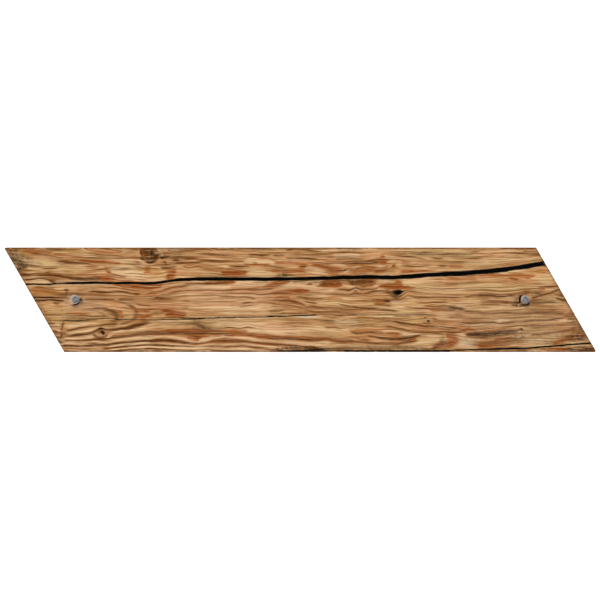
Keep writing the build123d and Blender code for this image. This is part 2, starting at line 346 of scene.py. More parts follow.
     163, -19.5, 1.1, 168, -19.7, 1.1, 170.5, -20.3, 1.1, 175, -20, 1, 181, -19.7, 1.1, 187, -19.2, 1.1,
     193, -18.6, 1.1, 199, -17.8, 1.1, 205, -17.7, 1, 211, -17.7, 1, 215, -17.2, 1, 218, -16.5, 1,
     223, -15.9, 0.9, 229, -15.6, 0.6),
    (0.6, 185, 8.2, 0.6, 190, 9, 1.2, 196, 9.4, 1.1, 202, 9.4, 1, 207, 9.4, 1.2),
    (0.75, 204, 10.5, 0.8, 210, 11, 1.2, 215, 11.4, 1.4, 220, 11.9, 1.3, 224, 12.4, 1.6),
    (0.75, 190, 6.6, 1.2, 195, 6.7, 1.5, 199, 6, 1.2),
    (0.9, 200, 4.4, 1, 200.6, 2.4, 1.6, 203.5, 2.4, 1.2, 206, 3.4, 1.1, 209, 4.3, 1, 213, 5.5, 1,
     217, 6.8, 1.1, 220.5, 8.2, 1.3, 224, 9.6, 1.4),
    (0.55, 217, 4.9, 0.8, 221, 4.4, 1.2, 225, 3.2, 1.6, 228, 2.2, 1.4),
    (0.8, 219, 1.6, 0.8, 223, 0.8, 1.1, 227, -0.3, 1.3, 231, -1.2, 1.2),
    (0.35, 196, -4.8, 0.7, 204, -5, 0.9, 212, -5.4, 1, 219, -5.6, 0.9, 227, -5.3, 0.8),
    (0.55, 196, -8.2, 0.8, 206, -8.2, 0.8, 213, -8.2, 0.9, 217.5, -8.4, 1.5, 221, -8.3, 0.8,
     229, -8.4, 0.7),
    (0.7, 226, -13.2, 1.2, 230, -13.8, 1.6, 234, -13.2, 1.6, 238, -12.6, 1.2),
    (0.6, 190, -22.8, 1.2, 195, -22.9, 1.3, 201, -22.6, 1.1, 207, -22.5, 1.1, 213, -22, 1.1,
     219, -21.9, 1.2, 225, -21.6, 1.1, 231, -21.1, 1, 238, -20.8, 0.9),
    (0.7, 199, -30.2, 0.7, 205, -29.7, 1, 210, -29.1, 1.1, 215, -28.5, 1.1, 220, -27.8, 1, 225, -27, 1,
     230, -26.4, 1, 236, -25.5, 1),
    (0.8, 232, -24.6, 0.9, 235, -25, 1.3, 238, -25.4, 0.8),
    # Front left, where the rings stand close
    (0.65, -203, -26.8, 1, -199, -26.6, 1.1, -195, -25.5, 1.5, -191, -24.6, 1.6, -187, -23.8, 1.4,
     -183, -23.2, 1.2, -178, -22.9, 1.2, -173, -22.2, 1.4, -168, -21.4, 1.7, -163, -20.9, 1.8,
     -158, -20.3, 1.8, -155, -19, 1.5),
    (0.95, -204, -31.2, 1.3, -198, -31, 1.4, -193, -30.4, 1.7, -188, -30.1, 1.7, -184, -29.6, 1.7,
     -180, -28.7, 1.6, -177, -27.4, 1.3, -174, -25.8, 1.2, -171.5, -24.6, 1.1, -169, -25, 1.1,
     -166, -25.9, 1.1, -163, -26, 1.2, -159, -25.4, 1.4, -155, -24.8, 1.6, -150, -24.4, 1.8,
     -146, -23.8, 2.3, -142, -22.6, 2.6, -138, -21.4, 2.8, -134, -20.4, 2.4, -129, -19.6, 1.4),
    (0.8, -204, -35.2, 1.2, -198, -35, 1.1, -192, -35, 1.1, -186, -34.8, 1.1, -180, -34.4, 1.1,
     -176, -33.9, 1.3, -172, -33.9, 1.7, -167, -33.8, 1.6, -163, -33, 1.6, -159, -31.9, 1.9,
     -153, -31.4, 2, -148, -30.8, 2, -143, -30, 2, -138, -29.4, 2.1, -132, -29.2, 2.1, -126, -28.8, 2,
     -119, -28.9, 2.1, -112, -29, 2, -105, -29, 1.9, -98, -29, 2, -92, -29, 1.8, -84, -28.9, 1.6,
     -76, -29, 1.4, -68, -29.2, 1.6, -60, -29.3, 1.8),
    (0.95, -206, -39.4, 1.2, -200, -39.5, 1.4, -194, -39.7, 1.4, -188, -39.8, 1.1, -182, -39.4, 1.3,
     -178, -38.8, 1.6, -172, -38.8, 1.7, -166, -38.8, 1.6, -161, -38.2, 1.6, -156, -37.3, 1.6,
     -151, -36.7, 1.4, -146, -36.2, 1.4, -141, -35.7, 1.5, -135, -35.4, 1.7, -129, -35.3, 2,
     -123, -35, 2.3, -117, -34.9, 2.3, -112, -35.2, 2.1, -107, -36, 1.8, -102, -36.6, 1.6,
     -97, -37.2, 1.6, -92, -37.5, 1.4, -87, -37.4, 1.1),
    (0.64, -92, -37.5, 1.2, -87, -37.4, 1.1, -83, -37, 1, -79, -36.2, 1.4, -75, -35.6, 1.7,
     -70, -35.3, 1.9, -64, -35.4, 2, -58, -35.4, 2, -52, -35.5, 2, -47, -36.1, 1.6, -42, -36.4, 1.5,
     -37, -36.7, 1.5, -32, -37.4, 1.6, -26, -38, 1.6, -20, -38.5, 1.6, -14, -38.9, 1.6, -8, -39.3, 1.6,
     -2, -39.9, 2, 4, -40.8, 2.3, 9, -40.8, 2, 14, -41.4, 1.5, 18, -41.4, 1),
    (0.45, -186, -37.7, 0.8, -179, -37, 1.3, -173, -37.3, 0.9),
    (0.6, -205, -41.8, 1.1, -199, -41.8, 0.9, -193, -42, 0.7, -187, -42.2, 0.8, -179, -41.9, 0.9),
    (0.9, -171, -41.8, 0.8, -166, -41.9, 1.1, -161, -41.3, 1.2, -156, -40.8, 1.2, -151, -40.2, 1.2,
     -146, -39.8, 1.2, -140, -39.4, 1.3, -134, -39, 1.3, -129, -38.9, 1.5, -123, -38.9, 1.5,
     -117, -39.2, 1.4, -112, -39.6, 1.2, -106, -39.6, 1, -100, -39.7, 0.8, -94, -40.3, 0.7,
     -88, -40.5, 0.6),
    (0.6, -92, -40.4, 0.6, -88, -40.5, 0.6, -83, -40.2, 0.9, -79, -40, 1.3, -74, -40, 1.4,
     -70, -39.8, 1.5, -65, -40.2, 1.5, -60, -39.9, 1.4, -55, -39.6, 1.4, -50, -39.6, 1.4, -45, -40, 1.4,
     -40, -40.7, 1.7, -35, -41.3, 1.6, -30, -42, 1.4, -25, -42.6, 1.3, -19, -43.1, 1.2, -13, -43.5, 1),
    (0.6, -206, -44.2, 1, -198, -44.3, 0.9, -189, -44.4, 0.8),
    (0.85, -164, -44.3, 0.8, -158, -43.9, 1, -153, -43.4, 1.2, -148, -43, 1.2, -143, -42.7, 1.2,
     -137, -42.4, 1.1, -130, -42.1, 1.2, -123, -42.2, 1.2, -116, -42.5, 1.1, -110, -42.9, 1,
     -103, -43.3, 1, -96, -43.4, 1, -90, -43.5, 0.8),
    (0.62, -94, -43.5, 0.8, -84, -43, 0.8, -80, -42.9, 0.9, -76, -43.2, 1.1, -70, -43.8, 1.4,
     -64, -44, 1.5, -58, -43.9, 1.5, -50, -44.2, 1.3, -42, -44.4, 1.1, -34, -44.5, 1, -26, -44.4, 1,
     -20, -44, 1.2),
    (0.55, -130, -44.3, 0.8, -122, -44.3, 0.8, -114, -44.5, 0.6),
    (0.6, -68, -24.3, 0.8, -61, -24, 1.2, -56, -24.4, 0.9, -51, -24.5, 0.8, -48, -23.9, 0.9,
     -45, -23.5, 1.1, -42, -24.3, 0.9, -39, -25.3, 0.7),
    (0.5, -47, -28.6, 0.9, -42, -29, 0.9, -37, -29.4, 0.7, -32, -29.6, 0.9, -28, -30.2, 0.9,
     -24, -31.2, 1, -19, -31.8, 1.1, -14, -31.8, 1, -7, -31.8, 0.9, 0, -32.5, 0.7),
    (0.75, -31, -32.2, 1.2, -24, -33, 1.6, -17, -33.5, 1.6, -9, -33.6, 1.6, -1, -33.9, 1.6, 6, -34.4, 1.8,
     12, -34.4, 1.6, 18, -34.3, 1.4, 23, -34, 1.2, 27, -34.9, 1.2, 31, -35.5, 1.6, 36, -35.8, 1.8,
     41, -35.8, 1.8, 46, -36, 1.7, 51, -36.3, 1.5, 56, -36.8, 1.5, 61, -37.1, 1.6, 66, -37.8, 1.6,
     71, -38.1, 1.5, 77, -38.2, 1.4, 83, -38, 1.3, 88, -37.2, 1.6, 93, -36.4, 1.6, 98, -35.5, 1.3,
     102, -34.7, 0.9),
    (0.75, 37, -34.1, 0.7, 41, -34.4, 0.9, 46, -35.1, 0.7),
    (0.5, 66, -36.4, 0.8, 72, -36.5, 0.9, 79, -36.8, 1, 85, -37, 0.8),
    (0.55, 104, -42.2, 0.9, 110, -42.1, 1.2, 116, -41.6, 1.5, 122, -41, 1.4),
    (1.0, 62, -31.6, 0.9, 70, -33, 1.5, 75, -33.6, 1.8, 80, -33.6, 2, 85, -33.6, 2.2, 89, -33.2, 2.6,
     93, -32.6, 2.6, 97, -31.8, 2, 101, -31, 1.4, 104.5, -30.4, 0.8),
    (0.6, -91, -31, 1.6, -88.5, -32, 2, -86, -33, 1.2),
    (0.4, -89, -18.6, 1.4, -88, -20, 1.8, -86.5, -22, 2, -84, -23.6, 2, -81, -24, 1.4, -77, -24.3, 1),
    (0.7, 17, 13.6, 1.6, 22, 14, 2.4, 26, 14.4, 1.6),
    (0.6, 63, -0.4, 2, 70, -0.2, 2.2, 73, 0, 2.6, 76, -0.6, 2.2),
    (0.45, -166, -0.6, 1, -155, -2, 1.6, -146, -5, 2.4, -141.6, -10, 3, -142, -15, 3, -148, -19.4, 2.4,
     -156, -21, 1.6),
    (0.5, -182, -5, 1, -170, -7.4, 1.8, -161, -10, 2.6, -157, -13, 2.8, -157.4, -16.6, 2.6,
     -164, -19.8, 2),
    (0.4, -188, -7.6, 0.9, -178, -9.4, 1.4, -170, -12, 1.8, -167, -15, 1.6),
    (0.55, 44, 24, 0.8, 48, 26, 1, 52, 27.4, 1, 57, 27.2, 1, 61, 25.6, 0.9, 64, 23.6, 0.8),
    (0.5, 47, 22.6, 0.8, 53, 23.4, 1.1, 59, 23, 0.9),
    (0.6, 66, 26.4, 0.8, 70, 24.6, 1.1, 74, 25.6, 1, 76, 27.4, 0.8),
    (0.5, 22, 26.4, 0.8, 26, 25, 1.1, 30, 23.8, 1.2, 36, 24, 0.9),
    (0.5, 20, 28.2, 0.9, 28, 27.4, 1.1, 35, 26.6, 0.9),
    (0.9, -128, -44.5, 0.8, -112, -44.7, 0.8, -98, -44.6, 0.6),
    (0.9, -60, -44.5, 1, -44, -44.7, 1, -30, -44.7, 1, -14, -44.4, 1.2),
    # Front right
    (0.7, 126, -27.9, 1, 132, -28, 1.1, 137, -27.8, 1.2, 141, -27.4, 1),
    (0.7, 134, -24.4, 1, 138, -25.4, 1.4, 141, -26.5, 1.5, 145, -27.3, 1.5),
    (0.85, 143, -29.6, 2, 147, -29.8, 3, 152, -29.3, 3.4, 157, -29.4, 3.6, 163, -29, 3.8, 170, -28.4, 4,
     177, -27.8, 4, 183, -27.4, 3.4, 188, -27, 1.6),
    (0.85, 126, -6.4, 0.9, 131, -7, 1.3, 136, -7.6, 2, 140, -8.2, 2.2, 142.6, -8.6, 1.2),
    (0.6, 236, -42.5, 1.6, 243, -42.8, 2.2, 250, -42.8, 1.8),
    (0.6, 236, -33, 1.4, 241, -34, 1.6, 246, -35, 1.4),
    (0.5, 226, -33.6, 1.6, 232, -31.8, 1.8, 238, -30, 1.4),
    (0.85, 183, -26.5, 0.7, 187, -25.6, 0.9, 190, -25.2, 1.3, 192.4, -26.2, 1, 193, -27.6, 0.8),
]
for strength, *points in RINGS:
    stroke("brown", strength, points, hardness=2.2, share=0.62)

# Rust stains: pitch and iron that coloured the board, wide and streaky
STAINS = [
    (0.6, -240, 42.6, 1.6, -234, 42, 2.6, -226, 41.6, 2.6, -219, 40.8, 2, -212, 40.2, 1.4),
    (0.8, -243, 23, 1.6, -239, 22.4, 2.4, -235, 21.8, 1.6),
    (0.5, -215, 39.6, 1.4, -207, 38.8, 2.2, -199, 37.6, 2.2, -191, 36.2, 2.2, -184, 35.8, 1.2),
    (0.35, -210, 35.2, 1.6, -200, 34.7, 2, -191, 34, 2),
    (0.6, -221, 22.4, 1.6, -216, 23.4, 2.6, -211, 22, 2.6, -204, 20.8, 2),
    (0.5, -187, 44.4, 1.2, -181, 42.8, 1.5, -175, 41.8, 1.5, -168, 41, 1.2, -160, 40.6, 1, -152, 41, 0.8),
    (0.75, -191, 33.6, 1.4, -184, 33.3, 2, -179, 33, 2.2, -173, 32.8, 2, -167, 32.4, 1.8, -160, 31.9, 1.4,
     -153, 31.5, 1),
    (0.75, -183, 30.4, 1, -179, 30.1, 1.5, -176, 29.8, 1),
    (0.85, -181, 18.6, 1.6, -174, 18.8, 2.6, -169, 18.7, 3.2, -164, 18.4, 3.6, -161, 18, 2.6,
     -158, 17.4, 1),
    (0.6, -168.5, 30, 1.2, -167.5, 28, 1.6, -165.5, 25.5, 2, -164, 23.2, 2.4, -163.5, 20.6, 3.2),
    (0.5, -158, 16.9, 0.8, -150, 16.6, 1, -142, 16.4, 0.7),
    (0.55, -146, 43.7, 1.4, -141, 43.4, 1.6, -138, 42.6, 1.6),
    (0.5, -135, 29, 2, -131, 27, 4, -129, 29.6, 2.4),
    (0.5, -136, 23.3, 1, -131, 23.1, 1.2, -126, 23.2, 0.8),
    (0.8, -121, 40.6, 0.8, -116, 40.1, 1.3, -112, 40.2, 1.1, -107, 40.4, 0.8),
    (0.8, -107.6, 27.4, 2, -109, 25, 4, -110.6, 22.6, 5, -112.6, 20, 4, -116, 18.6, 2),
    (0.45, -101, 30, 1.4, -93, 29, 2, -87, 28.4, 2.4, -81, 27.6, 2.8, -75, 27, 3, -69, 26.6, 2.4,
     -64, 26.4, 1.4),
    (0.85, -69, 24.4, 1.6, -65, 23, 3.6, -60, 22.8, 4.2, -54, 22.8, 3.6, -49, 23.3, 2.4, -45, 23.4, 1.2),
    (0.55, -62, 20.6, 0.8, -57, 20.6, 1.2, -51, 20.8, 0.8),
    (0.7, -50, 31.2, 0.8, -45, 30.3, 1.3, -41, 30, 1.4, -37, 30, 1.3, -31, 30, 1.2, -25, 30.4, 1),
    (0.5, -38, 35.4, 1.2, -31, 35.4, 1.6, -26, 35, 1.5, -22, 33.8, 1.3, -18, 33.4, 0.9),
    (0.45, -24, 31, 1, -18, 31.6, 2, -11, 31.8, 2.4, -4, 31.2, 2.2, 2, 30.4, 2, 8, 29.8, 1.8),
    (0.5, -13, 27, 0.9, -8, 26.5, 1.1, -3, 26.2, 0.8),
    (0.55, -25, 25, 1.4, -19, 24.5, 2, -13, 24, 2.6, -7, 24, 2.6, -2, 24.3, 3, 3, 24.6, 2.2, 7, 24, 1.2),
    (0.75, -4, 24.8, 1.4, 0, 24.8, 1.8, 3.5, 24.6, 1.4),
    (0.4, -3, 21.6, 1.6, 4, 21.6, 1.6, 10, 21, 1),
    (0.4, -29, 40.3, 0.9, -20, 40.6, 1, -8, 41, 1, 2, 41.2, 0.7),
    (0.7, 9, 29.6, 1.8, 14, 29.6, 2, 19, 28.8, 2.2, 23, 28, 2.2, 27, 27, 2.6, 31, 26.5, 2.6, 35, 26, 1.8,
     38, 25.8, 1),
    (0.5, 21, 27, 1.2, 24, 25, 2.8, 27, 23.4, 3.4, 31, 22.8, 2.6, 35, 22.6, 1.6),
    (0.75, 41.5, 27, 1, 43, 27.2, 1.5, 44.6, 26.5, 1.7, 46.6, 26.9, 1),
    (0.55, 43, 23, 1.6, 48, 24.4, 2.4, 54, 25.2, 2.8, 60, 25.2, 2.4, 64, 24.8, 1.8),
    (0.7, 50, 29.8, 0.8, 54, 29.4, 1.6, 59, 28.6, 2, 63, 27.4, 2, 66, 25.6, 1.6),
    (0.9, 62.5, 25, 1, 66, 24.6, 1.6, 70, 25.2, 1.6, 73, 26.4, 1.6, 76, 27.8, 1.2),
    (0.75, 66, 32, 1.2, 69, 31.8, 1.8, 72.5, 32.2, 2, 75, 32.8, 1),
    (0.6, 64, 36, 0.8, 68, 35.4, 1, 71.5, 37, 2.4, 74, 36.4, 1),
    (0.95, 78, 29.6, 1.4, 79.6, 29, 2.4, 81, 27.8, 1.3),
    (0.45, 86, 32.8, 1.2, 91, 32, 1.8, 97, 31.2, 1.2, 104, 31, 0.8),
    (0.65, 86, 24, 1.4, 92, 24.2, 2, 98, 24.8, 2.2, 103, 25, 1.8, 110, 24.8, 1.2, 118, 25, 0.9),
    (0.5, 126, 29.8, 1.8, 132, 29.2, 2.6, 138, 28.8, 2.6, 142, 28.4, 1.2),
    (0.3, 151, 28.8, 1.2, 159, 28.8, 1.8, 166, 29, 1),
    (0.45, 139, 35.4, 0.8, 146, 35, 0.9, 154, 35, 0.8),
    (0.35, 116, 37.8, 1, 124, 37.6, 1.6, 132, 37, 1.2),
    # Below the long crack
    (0.55, -233, 8.4, 1.6, -228, 7.4, 3.2, -222, 7, 2.2, -214, 6.5, 1.4),
    (0.7, -229, 11.3, 1, -225, 10.9, 1.6, -220, 10.2, 1.4, -215, 9.6, 0.9),
    (0.9, -162, 13.2, 0.7, -156, 12.6, 1, -151, 11.5, 1.6, -145, 11, 1.7, -139, 10.9, 2, -133, 10.9, 2.2,
     -127, 11.3, 2.2, -122, 12.2, 1.6, -117, 13.6, 1),
    (0.55, -143, 4.8, 1.2, -138, 5.1, 1.5, -132, 4.8, 1.8, -126, 4.8, 2, -121, 5.4, 1.2),
    (0.4, -137, 8.6, 1.2, -131, 8.2, 1.8, -125, 8.4, 1.2),
    (0.45, -194, 10.2, 0.8, -187, 10, 1, -180, 9.8, 0.7),
    (0.6, -176, 6.8, 1, -169, 6.4, 1.7, -163, 6.4, 1.2),
    (0.4, -203, -11.6, 1.4, -197, -12, 2.8, -190, -12.6, 3, -184, -13.2, 2.2, -178, -13.6, 1.2),
    (0.7, -192, -13.4, 0.9, -188, -13.4, 1.2, -184, -13.4, 0.7),
    (0.5, -158, -9.4, 1.2, -154.4, -11, 2, -152.6, -14, 2.4, -154.4, -18, 1.4),
    (0.45, -140, -8, 3, -138, -12, 5, -136, -15, 5, -131, -13, 6, -128, -10, 4),
    (0.6, -137, -10, 1.2, -133, -10.4, 2, -128, -10.6, 1.6),
    (0.6, -136, -13, 1, -131, -13.4, 1.6, -127, -13, 1),
    (0.75, -139, -16.6, 1.4, -135.5, -16.8, 1.8, -131, -17, 1.2),
    (0.55, -151, -24, 1.4, -146, -22.8, 2, -141, -21, 2.6, -136, -20.2, 2.4, -131, -20, 1.2),
    (0.9, -163, -32.2, 1.4, -159.5, -31.8, 2, -155, -31.3, 1.8, -149, -31, 1.5, -143, -30.3, 1.2),
    (0.85, -173.6, -33, 1.4, -170.5, -33.2, 2, -167.6, -33.6, 1.2),
    (0.9, -120, -8.4, 1, -114, -9.4, 2, -108, -10.4, 2.6, -102, -11.6, 2.6, -97, -12.3, 1.4),
    (0.8, -117, -13.8, 1.2, -112, -12.8, 3, -106, -12.6, 3.2, -100, -13.4, 2, -97, -13.6, 1),
    (0.95, -129, -28.6, 1.2, -118, -28.6, 1.8, -106, -28.6, 2.8, -96, -28.8, 3.6, -88, -28.8, 3.2,
     -78, -29, 2.6, -66, -29, 2.6),
    (0.95, -99, -30.2, 2, -95, -31, 3.4, -91, -31.4, 4, -87, -32, 3.8, -84.4, -33, 1.6),
    (0.85, -100, -29.8, 1.8, -90, -30.4, 2.6, -81, -30.6, 1.8, -75, -30.4, 1),
    (0.6, -117, -26.4, 1.2, -107, -26.6, 2, -97, -26.6, 2, -85, -26.4, 1.6, -72, -26.7, 2.4,
     -60, -27, 2.6, -50, -27.2, 1.8, -44, -27.4, 0.8),
    (0.9, -66, -29.6, 1.8, -59, -29.6, 2.2, -52, -29.7, 2, -46, -30, 1.7, -41, -30.6, 1.8,
     -36, -31.5, 2.2, -30, -32.1, 2.4, -24, -32.7, 2.5, -17, -33.2, 2.6, -9, -33.2, 2.6, -1, -33.5, 2.8,
     6, -34.1, 2.7, 13, -34.4, 2.6, 19, -34.1, 2.1, 24, -34.1, 1.7, 30, -35.3, 1.8, 36, -35.6, 2,
     42, -35.6, 2.1, 48, -35.9, 1.6),
    (0.5, -55, -35.2, 1.6, -50, -35.4, 1.8, -44, -36.4, 1.4, -37, -36.8, 1.2),
    (0.7, -41, -40.8, 1.4, -37, -41, 1.5, -32, -41.8, 1.2),
    (0.8, -128, -35.2, 1.6, -114, -35.2, 1.6, -106, -36.3, 1.4, -99, -37, 1.1),
    (0.75, -130, -35.4, 2.6, -117, -35, 3, -104, -36.4, 2, -92, -37.6, 1.8, -82, -37, 1.6,
     -72, -35.6, 2.4, -58, -35.4, 2.4, -46, -36.2, 2, -32, -37.4, 2, -16, -38.8, 2, 0, -40.4, 2.2),
    (0.5, -80, -40, 1.8, -66, -40.2, 2, -50, -39.7, 2, -38, -41, 2, -26, -42.4, 1.6),
    (0.7, 114, -41.4, 2, 119, -39.4, 3.4, 124, -37, 4),
    (0.8, 216, -38.4, 1.4, 226, -35, 2.6, 236, -31.6, 3.4, 246, -30, 2.6),
    (0.9, 204, -43.6, 1, 220, -42.8, 1.8, 236, -42.8, 2.6, 256, -43, 3),
    (0.3, -62, 10, 5, -40, 10, 6, -16, 9, 7, 8, 7, 7, 24, 7, 5),
    # Under the long crack, middle and right
    (0.62, -66, 8.8, 0.7, -54, 8.9, 1, -44, 9.4, 1.4, -36, 10.4, 1.8, -30, 11.4, 2),
    (0.6, -26, 25, 1, -20, 24.4, 1.8, -10, 24.4, 2, 0, 25.4, 2.4, 6, 26, 1.4),
    (0.6, -99, 13, 1.2, -95, 13.5, 1.7, -90, 13.7, 1.2),
    (0.8, -84, 14.2, 1.4, -75, 14.6, 2, -68, 15.2, 2.4, -61, 15.4, 2.4, -55, 15.6, 1.4),
    (0.85, -34, 10.6, 1.2, -27, 12, 2.4, -22, 13, 3.6, -18, 14, 4, -14, 14.9, 3, -9.5, 16, 1.4),
    (0.7, -48, 9.2, 1, -41, 9, 1.6, -34, 9.5, 1.5, -27, 10.2, 1.5, -21, 11.2, 1.6, -16, 12.4, 1.2),
    (0.85, -27, 5.8, 1.2, -20, 6.3, 2.2, -13, 6.6, 3, -6, 7, 3.6, 0, 7.6, 3.6, 5, 7.8, 2.4, 10, 8, 1.2),
    (0.6, -23, 1.4, 1.2, -17, 1.6, 2.2, -11, 1.4, 2.4, -7, 1.2, 1.4),
    (0.5, 1, 2.8, 1.2, 5, 1.6, 1.8, 10, 0.6, 1.2),
    (0.3, 13, 10.4, 1, 20, 9.6, 1.4, 28, 9.8, 1),
    (0.35, 21, 0.6, 1.6, 30, 1.6, 2.6, 38, 1, 1.6),
    (1.1, 15.5, 13, 1, 19, 13.8, 2.6, 23, 14.4, 3.4, 27, 14.5, 3.8, 31, 14.4, 3.4, 35, 13.4, 2.2,
     37, 12.8, 1),
    (0.6, 12, 11.6, 0.8, 18, 11.7, 1.2, 25, 11.7, 1.2, 32, 11.4, 1.3, 35, 11.2, 0.9),
    (0.75, 43, 13.6, 1.8, 47, 13.6, 2, 52, 14, 3.2, 57, 14.8, 4.4, 62, 15.2, 4.4, 66, 15.6, 3),
    (0.6, 57, 12, 1.2, 61, 12.4, 1.6, 65, 13.8, 1.6),
    (0.7, 57, 9, 0.9, 60, 9.2, 1.3, 63.6, 9.2, 0.9),
    (0.6, 53, 5.4, 1, 57, 5.4, 1.1, 61, 6.8, 0.9),
    (0.95, 66, 10.8, 1.2, 70, 11.6, 2.2, 75, 12, 2.6, 80, 11.8, 2.6, 84, 12.2, 3.6, 87.5, 12.4, 3.4,
     89.6, 12.4, 1.6),
    (0.9, 88, 11, 1.6, 91.5, 11, 1.6, 95, 11.4, 0.9),
    (0.7, 81, 16, 1.6, 84.5, 15.6, 2.4, 86, 13.6, 2.4),
    (0.6, 81, 9.6, 1, 76, 10, 1.2, 70, 10, 0.8),
    (0.5, 125, 19, 1.4, 133, 18.6, 1.6, 141, 18.6, 2, 148, 18.8, 2.4, 154, 19, 2),
    (0.65, 152, 20.4, 1.4, 159, 20.6, 1.8, 167, 21, 2, 174, 20.9, 1.6, 182, 20.8, 2, 190, 20.6, 2.4,
     198, 20.4, 2, 204, 20.6, 1),
    (0.75, 178, 18.6, 1, 182, 18.3, 1.7, 185, 17.8, 1.6, 189, 17.4, 0.9),
    (0.55, 192, 19.4, 1.2, 195.5, 18.7, 1.6, 199, 18.8, 0.9),
    (0.35, 203, 26, 2, 209, 25.4, 2.6, 214, 24.6, 1.6),
    (0.9, 204, 9.4, 1, 208, 9.5, 1.5, 211, 9.2, 1),
    (0.6, 60, -0.8, 1, 64, -1.2, 1.6, 70, -1.4, 2, 76, -1.6, 1.6),
    (0.8, 59, -0.9, 1.4, 63, -0.8, 1.7, 68, -0.6, 1.6, 73, -0.6, 1.4),
    (0.6, 62, -2.4, 1.1, 68, -2.7, 1.2, 75, -2.9, 1),
    (0.3, -36, -8, 1.6, -30, -8, 2.2, -25, -8, 1.4),
    (0.35, -15, -16.3, 1.2, -9, -16.4, 1.7, -3, -17.2, 2.2, 4, -18, 2.4, 11, -18.6, 2.2, 18, -19.6, 2.2,
     25, -20.6, 2.2, 32, -21.4, 1.4),
    (0.45, 5, -5.8, 0.9, 12, -6.2, 1.3, 20, -7.1, 1.3, 25, -7.6, 0.9),
    (0.4, 44, -26, 1.2, 51, -26.4, 2.4, 58, -26.2, 2.4, 65, -26.8, 1.8, 71, -27.6, 1),
    (0.5, 72, -28.6, 1.4, 79, -29.2, 2.6, 84, -29.5, 2.6, 87, -29.4, 1.4),
    (0.8, 90, -34.4, 1.4, 94.5, -33.9, 2.2, 98.4, -33, 2.2, 101, -32.6, 1.4),
    (0.4, 102, -25.6, 1, 109, -27, 1.4, 116, -28, 1.2),
    (0.45, 94, -25.4, 1, 99, -25.8, 1.4, 106, -26.4, 1),
    (0.85, 125, -29, 1.6, 128, -30.4, 4, 131, -33, 6, 131.6, -35, 6, 128.6, -38, 5, 125, -40, 3),
    (0.8, 130, -35.6, 2, 134.4, -35.4, 2.4, 137, -35.2, 1),
    (0.7, 116, -41.6, 1, 121, -41, 1.6, 126, -40.2, 2, 130, -39.4, 1.4),
    (0.8, 139, -25.2, 1, 143, -25.4, 1.8, 148, -26, 1.6, 153, -26.6, 1),
    (0.85, 152, -37.4, 1.8, 156, -38.8, 4, 162, -38.8, 4.6, 168, -38, 4, 175, -36.6, 4, 182, -34.6, 3),
    (0.8, 166.5, -34.8, 1.4, 171, -34.2, 2.4, 176, -33.6, 2.2, 181, -32.6, 1.6, 184, -32.2, 0.8),
    (0.5, 156, -26.6, 1, 164, -26.6, 1.5, 172, -26.6, 2.2, 181, -26.8, 2),
    (0.4, 160, -3, 1, 166, -3, 1.3, 172, -3, 0.9),
    (0.9, 229, -11.6, 1.4, 232.5, -11.6, 2, 236, -11.6, 1.8, 239, -12.4, 1.2),
    (0.4, 210, -11.2, 1.2, 220, -11.4, 1.4, 228, -12, 1.4),
    (0.75, 216.5, -36.8, 1.2, 221, -36, 2.4, 226, -34.6, 3, 231, -32.8, 3, 236, -31.2, 2.8,
     241, -29.8, 2.6, 246, -28.8, 2),
    (0.6, 217, -37.6, 1, 221, -37.2, 1.5, 225, -36.4, 1),
    (0.4, 206, -42.4, 1, 214, -42.1, 1.2, 223, -42, 1.2, 232, -42.1, 1.6, 239, -42.5, 2, 246, -42.5, 2.2,
     254, -42.7, 2),
]
for strength, *points in STAINS:
    stroke("rust", strength, points, hardness=1.7, share=0.9)

